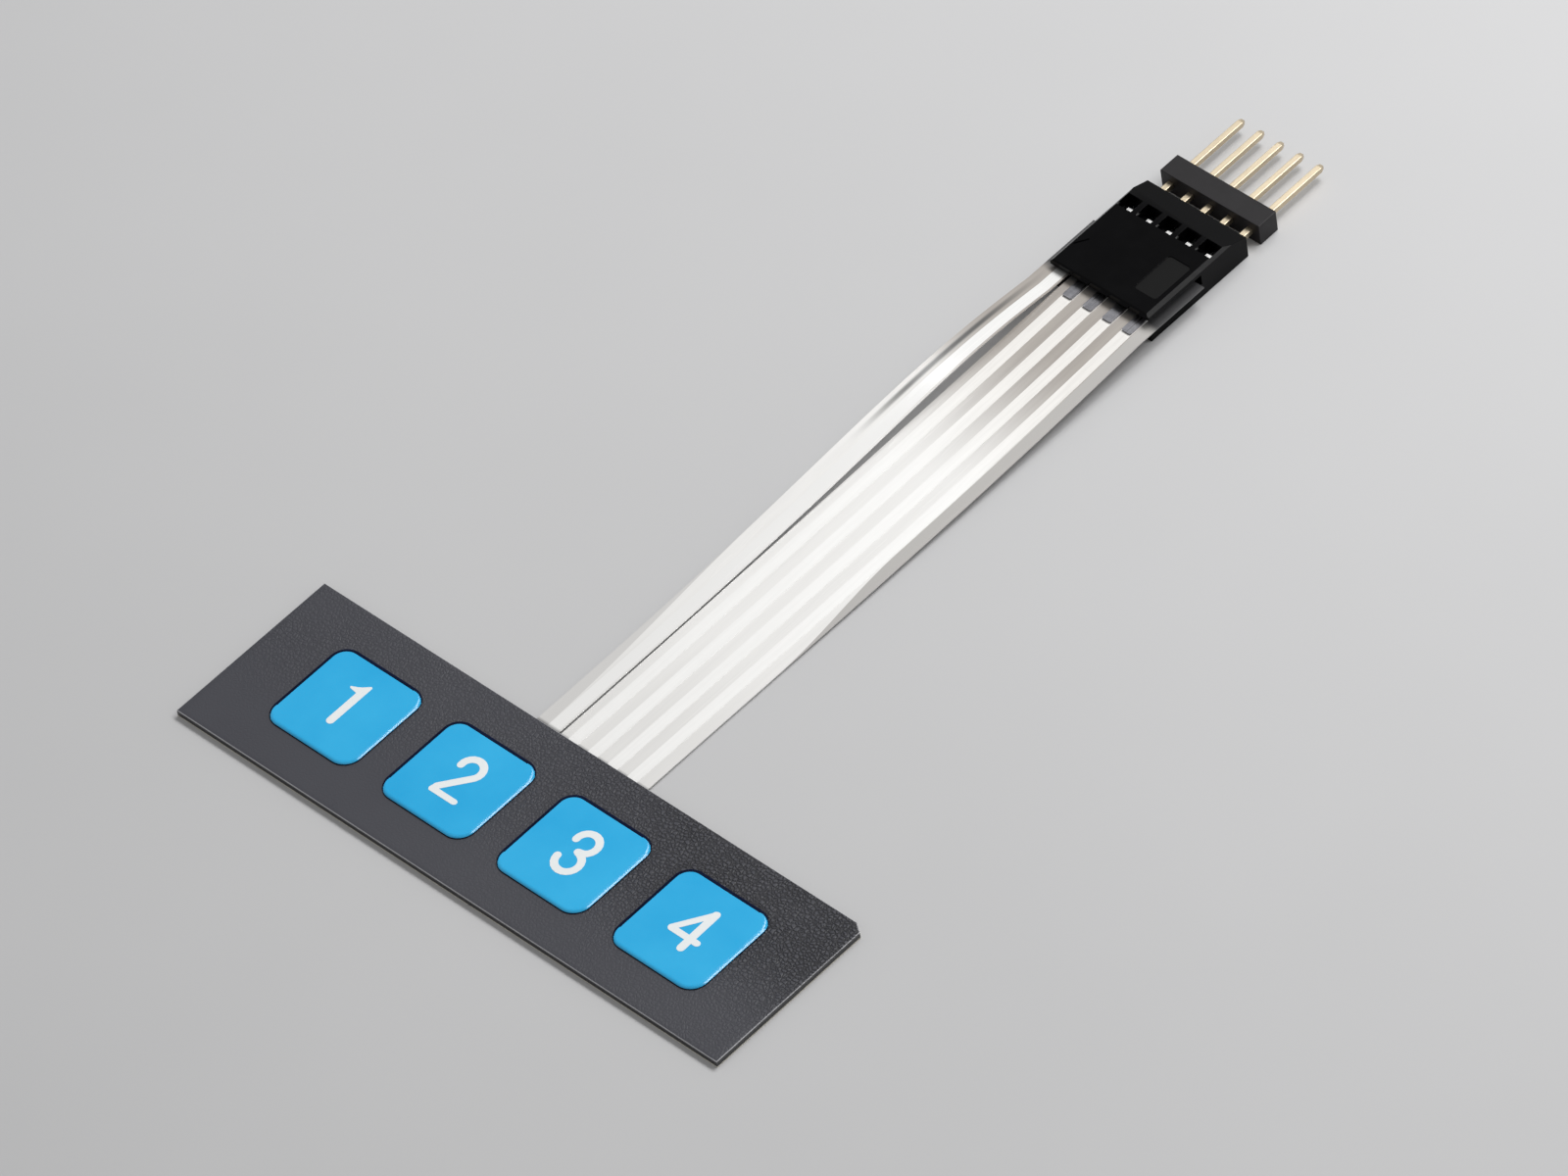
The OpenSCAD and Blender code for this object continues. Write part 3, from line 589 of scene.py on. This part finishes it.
# %% Group: slow wander of tone
sockets = [("Waves per mm", 0.15), ("Low", 0.0), ("High", 1.0)]
wander, w_in, w_out = effect_group("Slow wander", sockets, ["Value"])
where = node(wander, "ShaderNodeTexCoord")
per_m = node(wander, "ShaderNodeMath", {1: PER_M}, operation="MULTIPLY")
cloud = node(wander, "ShaderNodeTexNoise", {"Detail": 4.0, "Roughness": 0.55})
spread = node(wander, "ShaderNodeMapRange", {1: 0.3, 2: 0.7})
wander.links.new(w_in.outputs["Waves per mm"], per_m.inputs[0])
wander.links.new(where.outputs["Object"], cloud.inputs["Vector"])
wander.links.new(per_m.outputs[0], cloud.inputs["Scale"])
wander.links.new(cloud.outputs["Fac"], spread.inputs[0])
wander.links.new(w_in.outputs["Low"], spread.inputs[3])
wander.links.new(w_in.outputs["High"], spread.inputs[4])
wander.links.new(spread.outputs[0], w_out.inputs["Value"])
print("group:", wander.name)

# %% Group: streaks along the tail's direction
sockets = [("Lines per mm", 2.0), ("Low", 0.0), ("High", 1.0)]
streaks, s_in, s_out = effect_group("Streaks along Y", sockets, ["Value"])
where = node(streaks, "ShaderNodeTexCoord")
stretch = node(streaks, "ShaderNodeVectorMath", {1: (PER_M, PER_M / 40, PER_M)}, operation="MULTIPLY")
lines = node(streaks, "ShaderNodeTexNoise", {"Detail": 3.0, "Roughness": 0.6})
spread = node(streaks, "ShaderNodeMapRange", {1: 0.3, 2: 0.7})
streaks.links.new(where.outputs["Object"], stretch.inputs[0])
streaks.links.new(stretch.outputs[0], lines.inputs["Vector"])
streaks.links.new(s_in.outputs["Lines per mm"], lines.inputs["Scale"])
streaks.links.new(lines.outputs["Fac"], spread.inputs[0])
streaks.links.new(s_in.outputs["Low"], spread.inputs[3])
streaks.links.new(s_in.outputs["High"], spread.inputs[4])
streaks.links.new(spread.outputs[0], s_out.inputs["Value"])
print("group:", streaks.name)

# %% Group: rise from 0 to 1 between two places along Y
along, a_in, a_out = effect_group("Rise along Y", [("From mm", 54.0), ("To mm", 66.0)], ["Value"])
where = node(along, "ShaderNodeTexCoord")
axis = node(along, "ShaderNodeSeparateXYZ")
in_mm = node(along, "ShaderNodeMath", {1: PER_M}, operation="MULTIPLY")
rise = node(along, "ShaderNodeMapRange", interpolation_type="SMOOTHSTEP")
along.links.new(where.outputs["Object"], axis.inputs[0])
along.links.new(axis.outputs["Y"], in_mm.inputs[0])
along.links.new(in_mm.outputs[0], rise.inputs[0])
along.links.new(a_in.outputs["From mm"], rise.inputs[1])
along.links.new(a_in.outputs["To mm"], rise.inputs[2])
along.links.new(rise.outputs[0], a_out.inputs["Value"])
print("group:", along.name)


# %% Helpers for materials
def finish(name, values):
    """A material with one Principled shader whose constant values are set on its own sockets."""
    material = bpy.data.materials.new(name)
    material.use_nodes = True
    tree = material.node_tree
    shader = tree.nodes["Principled BSDF"]
    for key, value in values.items():
        shader.inputs[key].default_value = value
    return material, tree, shader


def placed(tree, group, values):
    """One of the shared groups, placed in a material with its own values."""
    made = node(tree, "ShaderNodeGroup", node_tree=group)
    for key, value in values.items():
        made.inputs[key].default_value = value
    return made


def tint(tree, factor, low, high, shader=None):
    """Mixes two colours by a factor; feeds the shader's Base Color if one is given."""
    made = node(tree, "ShaderNodeMix", {6: (*low, 1), 7: (*high, 1)}, data_type="RGBA")
    tree.links.new(factor, made.inputs[0])
    if shader:
        tree.links.new(made.outputs[2], shader.inputs["Base Color"])
    return made


def blend(tree, factor, first, second, shader=None):
    """Passes from one colour socket to another by a factor, and on to a shader if one is given."""
    made = tint(tree, factor, (0, 0, 0), (0, 0, 0), shader)
    tree.links.new(first, made.inputs[6])
    tree.links.new(second, made.inputs[7])
    return made


def over(tree, factor, below, colour, shader=None):
    """Lays a plain colour over a colour socket by a factor."""
    made = tint(tree, factor, (0, 0, 0), colour, shader)
    tree.links.new(below, made.inputs[6])
    return made


def roughen(tree, shader, group, values):
    """Feeds the shader's Roughness from one of the shared groups."""
    made = placed(tree, group, values)
    tree.links.new(made.outputs[0], shader.inputs["Roughness"])


# %% Helpers for masks, bumps and wearing a material
SOFT = 0.04


def near_line(tree, value, middle, full, none):
    """One where a value is nearer than full to a middle, and zero where it is further off than none."""
    off = node(tree, "ShaderNodeMath", {1: float(middle)}, operation="SUBTRACT")
    side = node(tree, "ShaderNodeMath", operation="ABSOLUTE")
    limits = {1: full, 2: none, 3: 1.0, 4: 0.0}
    fade = node(tree, "ShaderNodeMapRange", limits, interpolation_type="SMOOTHSTEP")
    tree.links.new(value, off.inputs[0])
    tree.links.new(off.outputs[0], side.inputs[0])
    tree.links.new(side.outputs[0], fade.inputs[0])
    return fade


def tapered_margin(tree, value, edge, share, width):
    """One where a value is nearer to an edge than a share of a width, with a soft border."""
    off = node(tree, "ShaderNodeMath", {1: float(edge)}, operation="SUBTRACT")
    side = node(tree, "ShaderNodeMath", operation="ABSOLUTE")
    inside = node(tree, "ShaderNodeMath", {1: width}, operation="MULTIPLY_ADD")
    minus = node(tree, "ShaderNodeMath", {1: -1.0}, operation="MULTIPLY")
    fade = node(tree, "ShaderNodeMapRange", {1: -SOFT, 2: SOFT}, interpolation_type="SMOOTHSTEP")
    tree.links.new(value, off.inputs[0])
    tree.links.new(off.outputs[0], side.inputs[0])
    tree.links.new(side.outputs[0], minus.inputs[0])
    tree.links.new(share, inside.inputs[0])
    tree.links.new(minus.outputs[0], inside.inputs[2])
    tree.links.new(inside.outputs[0], fade.inputs[0])
    return fade


def product(tree, *factors):
    """Multiplies value sockets."""
    total = factors[0]
    for factor in factors[1:]:
        made = node(tree, "ShaderNodeMath", operation="MULTIPLY")
        tree.links.new(total, made.inputs[0])
        tree.links.new(factor, made.inputs[1])
        total = made.outputs[0]
    return total


def relief(tree, height, shader, depth, strength=1.0):
    """A bump of the given depth in millimetres, from a height between 0 and 1."""
    made = node(tree, "ShaderNodeBump", {"Strength": strength, "Distance": depth * MM})
    tree.links.new(height, made.inputs["Height"])
    tree.links.new(made.outputs[0], shader.inputs["Normal"])
    return made


def wear(material, *pieces):
    """Gives a material to pieces or solids."""
    for piece in pieces:
        piece.data.materials.clear()
        piece.data.materials.append(material)
    print(material.name, "on", ", ".join(piece.name for piece in pieces))


# %% [markdown]
# ## Charcoal overlay
# The surround is a matte charcoal film with a faint purple cast and a texture like leather: flat
# cells parted by darker furrows, whose dark colour is painted shade. The same group gives the bump
# and the furrows' colour, stronger towards the right and the back, where the photograph shows it. A
# slow wander changes the tone a little, the cut edge is paler, partly as a painted highlight, and
# the wall under it is dark, as painted shade.

# %% Material: overlay
overlay_finish, tree, shader = finish("overlay charcoal", {"Roughness": 0.5, "Specular IOR Level": 0.35})
tone = placed(tree, wander, {"Waves per mm": 0.05})
hide = placed(tree, leather, {"Cells per mm": 2.5})
grain_strength_wander = placed(tree, wander, {"Waves per mm": 0.08, "Low": 0.75, "High": 1.35})
where = node(tree, "ShaderNodeTexCoord")
axis = node(tree, "ShaderNodeSeparateXYZ")
rightward = node(tree, "ShaderNodeMapRange", {1: -0.010, 2: 0.022, 3: 0.25, 4: 1.0})
tree.links.new(where.outputs["Object"], axis.inputs[0])
tree.links.new(axis.outputs["X"], rightward.inputs[0])
backward = placed(tree, along, {"From mm": -7.0, "To mm": 4.0})
deep = node(tree, "ShaderNodeMapRange", {3: 0.15, 4: 1.0})
tree.links.new(backward.outputs[0], deep.inputs[0])
coarse = product(tree, grain_strength_wander.outputs[0], rightward.outputs[0], deep.outputs[0])
pebbles = product(tree, hide.outputs[0], coarse)
plain = tint(tree, tone.outputs[0], (0.049, 0.050, 0.062), (0.057, 0.058, 0.070))
# The furrows' darker colour is painted shade in the creases of the grain.
furrow_shade = node(tree, "ShaderNodeMath", {0: 1.0}, operation="SUBTRACT")
tree.links.new(hide.outputs[0], furrow_shade.inputs[1])
base = over(tree, product(tree, furrow_shade.outputs[0], coarse), plain.outputs[2], (0.013, 0.013, 0.017))
# The paler cut edge is partly the film's paler core and partly a painted highlight.
cut = node(tree, "ShaderNodeAttribute", attribute_name="cut_edge_highlight")
edge = over(tree, cut.outputs["Fac"], base.outputs[2], (0.42, 0.42, 0.44))
# The side wall under the edge is painted near-black as painted shade.
wall_mark = node(tree, "ShaderNodeAttribute", attribute_name="wall")
over(tree, wall_mark.outputs["Fac"], edge.outputs[2], (0.008, 0.008, 0.009), shader)
roughen(tree, shader, wander, {"Waves per mm": 0.2, "Low": 0.46, "High": 0.56})
relief(tree, pebbles, shader, 0.09)
wear(overlay_finish, overlay)

# %% [markdown]
# ## Blue keys and white figures
# The blue is a printed ink under a smooth satin film: an even colour with a slight mottle and a
# soft gloss. The navy rim is painted shade on the far edges of the keys; it is matte, so that no
# light catches it. The figures are a thin white print on top, a little bluish where the ink is thin.

# %% Materials: key print and its rim
satin_coat = {"Coat Weight": 0.3, "Coat Roughness": 0.14}
key_finish, tree, shader = finish("key blue", {"Roughness": 0.2, "Specular IOR Level": 0.4, **satin_coat})
tone = placed(tree, wander, {"Waves per mm": 0.12})
tint(tree, tone.outputs[0], (0.002, 0.440, 0.850), (0.020, 0.500, 0.905), shader)
roughen(tree, shader, wander, {"Waves per mm": 0.5, "Low": 0.17, "High": 0.23})
skin_grain = placed(tree, grain, {"Cells per mm": 3.0})
relief(tree, skin_grain.outputs[0], shader, 0.002, 0.25)
# The navy rim material is painted shade on the far edges of the keys.
rim_shade_finish, tree, shader = finish("painted shade rim navy", {"Roughness": 0.6, "Specular IOR Level": 0.04})
tone = placed(tree, wander, {"Waves per mm": 0.3})
tint(tree, tone.outputs[0], (0.002, 0.005, 0.022), (0.004, 0.009, 0.034), shader)
roughen(tree, shader, wander, {"Waves per mm": 0.8, "Low": 0.52, "High": 0.68})
for skin in key_skins:
    skin.data.materials.append(key_finish)
    skin.data.materials.append(rim_shade_finish)
print(key_finish.name, "and", rim_shade_finish.name, "on", len(key_skins), "key skins")

# %% Material: figures
figure_finish, tree, shader = finish("figure white", {"Roughness": 0.45, "Specular IOR Level": 0.35})
tone = placed(tree, wander, {"Waves per mm": 1.2})
tint(tree, tone.outputs[0], (0.90, 0.95, 0.96), (0.95, 0.97, 0.97), shader)
ink_grain = placed(tree, grain, {"Cells per mm": 9.0})
relief(tree, ink_grain.outputs[0], shader, 0.004, 0.3)
wear(figure_finish, *[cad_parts[f"figure_{k + 1}"] for k in range(KEYS)])

# %% [markdown]
# ## Film and silver print
# The film is milky polyester with a high gloss, greyer towards the connector; that grey is painted
# shade. Its two long margins have a grey band that tapers along the tail, and a dark line beside the
# narrow strip's outer edge is a painted reflection. The silver shows through that strip, because
# there it is printed on the underside: an attribute for the place across the film tells where.
# Inside the housing and between the keypad's black layers the film is dark, as painted shade.

# %% Material: film, tone along the tail
film_gloss = {"Roughness": 0.25, "Specular IOR Level": 0.5}
film_coat = {"Coat Weight": 0.4, "Coat Roughness": 0.12, "Coat IOR": 1.6}
film_finish, tree, shader = finish("frosted film", {**film_gloss, **film_coat})
lines = placed(tree, streaks, {"Lines per mm": 1.2})
start = tint(tree, lines.outputs[0], (0.81, 0.80, 0.78), (0.86, 0.85, 0.83))
middle = tint(tree, lines.outputs[0], (0.885, 0.875, 0.855), (0.935, 0.925, 0.905))
off_pad = placed(tree, along, {"From mm": 15.0, "To mm": 30.0})
near = blend(tree, off_pad.outputs[0], start.outputs[2], middle.outputs[2])
# The grey tone towards the connector is painted shade.
far = tint(tree, lines.outputs[0], (0.37, 0.336, 0.308), (0.44, 0.405, 0.368))
outward = placed(tree, along, {"From mm": 54.0, "To mm": 74.0})
along_film = blend(tree, outward.outputs[0], near.outputs[2], far.outputs[2])
print("film tones from the keypad to the connector")

# %% Material: film, margins and silver
RIGHT_BAND, LEFT_BAND, TRACE_SOFT = 1.32, 1.36, 0.03
place_across = node(tree, "ShaderNodeAttribute", attribute_name="across")
right_w = placed(tree, along, {"From mm": 28.0, "To mm": 46.0})
right = tapered_margin(tree, place_across.outputs["Fac"], TAIL_RIGHT, right_w.outputs[0], RIGHT_BAND)
greyed = over(tree, right.outputs[0], along_film.outputs[2], (0.50, 0.485, 0.465))
left_w = placed(tree, along, {"From mm": 40.0, "To mm": 8.0})
left = tapered_margin(tree, place_across.outputs["Fac"], STRIP_OUT, left_w.outputs[0], LEFT_BAND)
base = over(tree, left.outputs[0], greyed.outputs[2], (0.68, 0.67, 0.655))
inner, outer = TRACE_W / 2 - TRACE_SOFT, TRACE_W / 2 + TRACE_SOFT
under = near_line(tree, place_across.outputs["Fac"], TRACE_X[0], inner, outer)
silver_near = over(tree, under.outputs[0], base.outputs[2], (0.91, 0.905, 0.89))
print("grey margins and the silver under the strip")

# %% Material: film, painted dark reflection and painted shade at the ends
# A dark line beside the strip's outer edge is a painted reflection.
REFLECTION_IN, REFLECTION_FULL, REFLECTION_NONE = 0.75, 0.08, 0.42
reflection_x = STRIP_OUT + REFLECTION_IN
dark_reflection = near_line(tree, place_across.outputs["Fac"], reflection_x, REFLECTION_FULL, REFLECTION_NONE)
reflection_from = placed(tree, along, {"From mm": 52.0, "To mm": 62.0})
reflection_to = placed(tree, along, {"From mm": 82.0, "To mm": 70.0})
reflection_mask = product(tree, dark_reflection.outputs[0], reflection_from.outputs[0], reflection_to.outputs[0])
reflection_darkened = over(tree, reflection_mask, silver_near.outputs[2], (0.10, 0.098, 0.095))
# Inside the housing the film is painted near-black, both for the black housing seen through it and as
# painted shade.
housed = placed(tree, along, {"From mm": 80.2, "To mm": 81.5})
housing_shade = over(tree, housed.outputs[0], reflection_darkened.outputs[2], (0.060, 0.060, 0.062))
# Between the keypad's black layers the film is painted near-black as painted shade.
inside = node(tree, "ShaderNodeAttribute", attribute_name="inside_pad")
over(tree, inside.outputs["Fac"], housing_shade.outputs[2], (0.02, 0.02, 0.022), shader)
roughen(tree, shader, streaks, {"Lines per mm": 0.8, "Low": 0.2, "High": 0.3})
ripple = placed(tree, streaks, {"Lines per mm": 0.5})
relief(tree, ripple.outputs[0], shader, 0.006, 0.4)
wear(film_finish, upper_film, lower_film)

# %% Material: silver print
silver_finish, tree, shader = finish("silver print", {"Metallic": 0.2, "Roughness": 0.5})
tone = placed(tree, streaks, {"Lines per mm": 3.0})
near = tint(tree, tone.outputs[0], (0.86, 0.855, 0.84), (0.90, 0.895, 0.88))
# The tone that greys towards the connector is painted shade.
far = tint(tree, tone.outputs[0], (0.76, 0.74, 0.71), (0.84, 0.82, 0.79))
outward = placed(tree, along, {"From mm": 52.0, "To mm": 72.0})
blend(tree, outward.outputs[0], near.outputs[2], far.outputs[2], shader)
roughen(tree, shader, wander, {"Waves per mm": 2.0, "Low": 0.45, "High": 0.55})
flakes = placed(tree, grain, {"Cells per mm": 14.0})
relief(tree, flakes.outputs[0], shader, 0.004, 0.3)
conductors = ["common_conductor"] + [f"key_conductor_{k + 1}" for k in range(KEYS)]
wear(silver_finish, *[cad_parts[name] for name in conductors])

# %% [markdown]
# ## The layers at the edge, and the release liner
# Seen from the side, the stack between the overlay and the table is black: the adhesive films and
# the spacer are coloured near-black as painted shade on the stack's side. The release liner under
# it is pale glassine paper with fine fibres.

# %% Material: black layers
# Near-black for the adhesive films and the spacer: painted shade on the stack's side.
stack_shade_finish, tree, shader = finish("stack side painted shade", {"Roughness": 0.45, "Specular IOR Level": 0.4})
tone = placed(tree, wander, {"Waves per mm": 0.6})
tint(tree, tone.outputs[0], (0.010, 0.010, 0.011), (0.018, 0.018, 0.019), shader)
roughen(tree, shader, streaks, {"Lines per mm": 1.0, "Low": 0.4, "High": 0.55})
layers = "overlay_adhesive", "circuit_spacer", "rear_adhesive"
wear(stack_shade_finish, *[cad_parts[name] for name in layers])

# %% Material: release liner
liner_finish, tree, shader = finish("liner paper", {"Roughness": 0.55, "Specular IOR Level": 0.3})
fibres = placed(tree, streaks, {"Lines per mm": 6.0})
tint(tree, fibres.outputs[0], (0.66, 0.62, 0.52), (0.76, 0.73, 0.64), shader)
roughen(tree, shader, wander, {"Waves per mm": 0.4, "Low": 0.48, "High": 0.62})
pulp = placed(tree, grain, {"Cells per mm": 6.0})
relief(tree, pulp.outputs[0], shader, 0.006, 0.4)
wear(liner_finish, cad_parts["liner_left"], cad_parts["liner_right"])

# %% [markdown]
# ## Black mouldings
# The housing is glossy black plastic with faint flow marks; the flat panel in its top is finely
# eroded and so looks greyer. The header is the same colour with a satin finish.

# %% Material: housing
PANEL_ROUGH = 0.6
housing_finish, tree, shader = finish("housing black", {"Roughness": 0.14, "Specular IOR Level": 0.06})
tone = placed(tree, wander, {"Waves per mm": 0.3})
base = tint(tree, tone.outputs[0], (0.0010, 0.0010, 0.0013), (0.0018, 0.0018, 0.0022))
sunk = node(tree, "ShaderNodeAttribute", attribute_name="panel")
over(tree, sunk.outputs["Fac"], base.outputs[2], (0.009, 0.009, 0.009), shader)
gloss = placed(tree, wander, {"Waves per mm": 0.7, "Low": 0.12, "High": 0.2})
rough = node(tree, "ShaderNodeMix", {3: PANEL_ROUGH}, data_type="FLOAT")
tree.links.new(sunk.outputs["Fac"], rough.inputs[0])
tree.links.new(gloss.outputs[0], rough.inputs[2])
tree.links.new(rough.outputs[0], shader.inputs["Roughness"])
flow = placed(tree, wander, {"Waves per mm": 1.0})
relief(tree, flow.outputs[0], shader, 0.004, 0.3)
wear(housing_finish, housing)

# %% Material: header
header_finish, tree, shader = finish("header black", {"Roughness": 0.45, "Specular IOR Level": 0.25})
tone = placed(tree, wander, {"Waves per mm": 0.5})
tint(tree, tone.outputs[0], (0.006, 0.005, 0.006), (0.009, 0.0075, 0.009), shader)
satin = placed(tree, grain, {"Cells per mm": 9.0})
relief(tree, satin.outputs[0], shader, 0.006, 0.4)
roughen(tree, shader, wander, {"Waves per mm": 0.9, "Low": 0.4, "High": 0.52})
wear(header_finish, header)

# %% [markdown]
# ## Metals
# The contacts are tinned: at the crimps their colour is darkened to grey as painted shade under the
# housing, and inside the housing's windows they are bright. The pins are gold plated, pale and
# slightly brushed along their length by drawing.

# %% Material: contacts
tin_finish, tree, shader = finish("contact tin", {"Metallic": 1.0, "Roughness": 0.3})
tone = placed(tree, wander, {"Waves per mm": 1.5})
# The grey at the crimps is painted shade; the plain tin colour returns inside the housing.
crimp_shade = tint(tree, tone.outputs[0], (0.17, 0.17, 0.185), (0.25, 0.25, 0.265))
inward = placed(tree, along, {"From mm": 86.0, "To mm": 89.0})
over(tree, inward.outputs[0], crimp_shade.outputs[2], (0.74, 0.74, 0.73), shader)
roughen(tree, shader, streaks, {"Lines per mm": 4.0, "Low": 0.24, "High": 0.38})
wear(tin_finish, *[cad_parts[f"contact_{k + 1}"] for k in range(WAYS)])

# %% Material: pins
gold_finish, tree, shader = finish("pin gold", {"Metallic": 1.0, "Roughness": 0.36})
drawn = placed(tree, streaks, {"Lines per mm": 6.0})
tint(tree, drawn.outputs[0], (0.56, 0.475, 0.345), (0.62, 0.53, 0.39), shader)
roughen(tree, shader, streaks, {"Lines per mm": 9.0, "Low": 0.3, "High": 0.42})
ridges = placed(tree, streaks, {"Lines per mm": 8.0})
relief(tree, ridges.outputs[0], shader, 0.002, 0.2)
wear(gold_finish, *pins)

# %% [markdown]
# ## Floor and light
# A plain pale floor, two soft lamps above and behind the object, where the photograph's gloss comes
# from, a card at the right that lights only the gloss, and an even sky. The background that the
# camera and the gloss see is as pale as the floor; the light that falls on surfaces is set apart
# from it, so that colours render about as written.

# %% Floor
FLOOR_HALF, FLOOR_Z = 3.0, -0.00002
floor_mesh = bpy.data.meshes.new("floor")
signs = (-1, -1), (1, -1), (1, 1), (-1, 1)
corners = [(x * FLOOR_HALF, y * FLOOR_HALF, FLOOR_Z) for x, y in signs]
floor_mesh.from_pydata(corners, [], [(0, 1, 2, 3)])
floor = bpy.data.objects.new("floor", floor_mesh)
scene.collection.objects.link(floor)
floor_finish, tree, shader = finish("floor pale", {"Roughness": 0.8, "Specular IOR Level": 0.2})
tone = placed(tree, wander, {"Waves per mm": 0.01})
tint(tree, tone.outputs[0], (0.60, 0.60, 0.605), (0.63, 0.63, 0.635), shader)
wear(floor_finish, floor)
print("floor laid under the keypad")

# %% Sky
SKY_LIGHT, SKY_SEEN = 0.36, 0.62
sky = bpy.data.worlds.new("studio")
scene.world = sky
sky.use_nodes = True
tree = sky.node_tree
background = tree.nodes["Background"]
background.inputs["Color"].default_value = (1, 1, 1, 1)
ray = node(tree, "ShaderNodeLightPath")
seen = node(tree, "ShaderNodeMath", operation="MAXIMUM")
seen_too = node(tree, "ShaderNodeMath", operation="MAXIMUM")
level = node(tree, "ShaderNodeMapRange", {3: SKY_LIGHT, 4: SKY_SEEN})
tree.links.new(ray.outputs["Is Camera Ray"], seen.inputs[0])
tree.links.new(ray.outputs["Is Glossy Ray"], seen.inputs[1])
tree.links.new(seen.outputs[0], seen_too.inputs[0])
tree.links.new(ray.outputs["Is Transmission Ray"], seen_too.inputs[1])
tree.links.new(seen_too.outputs[0], level.inputs[0])
tree.links.new(level.outputs[0], background.inputs["Strength"])
print("sky", SKY_LIGHT, "as light and", SKY_SEEN, "as seen")


# %% Lamps
LAMP_Z = 0.45


def softbox(name, place, target, width, height, power):
    """A rectangular lamp at a place, turned to face a target."""
    lamp = bpy.data.lights.new(name, "AREA")
    lamp.shape = "RECTANGLE"
    lamp.size, lamp.size_y, lamp.energy = width, height, power
    box = bpy.data.objects.new(name, lamp)
    box.location = place
    box.rotation_euler = (Vector(target) - Vector(place)).to_track_quat("-Z", "Y").to_euler()
    scene.collection.objects.link(box)
    return box


def hung_lamp(name, x, y, **sizes):
    """A lamp at the common height that faces straight down."""
    return softbox(name, (x, y, LAMP_Z), (x, y, 0), **sizes)


hung_lamp("key_light", 0.16, 0.32, width=0.40, height=0.16, power=1.66)
hung_lamp("tail_light", -0.08, 0.37, width=0.24, height=0.24, power=1.12)
edge_card = softbox("edge_card", (0.44, 0.26, 0.31), (0, 0, 0), width=0.25, height=0.5, power=3.2)
edge_card.visible_diffuse = False
print("two soft lamps and a card that lights only the gloss")
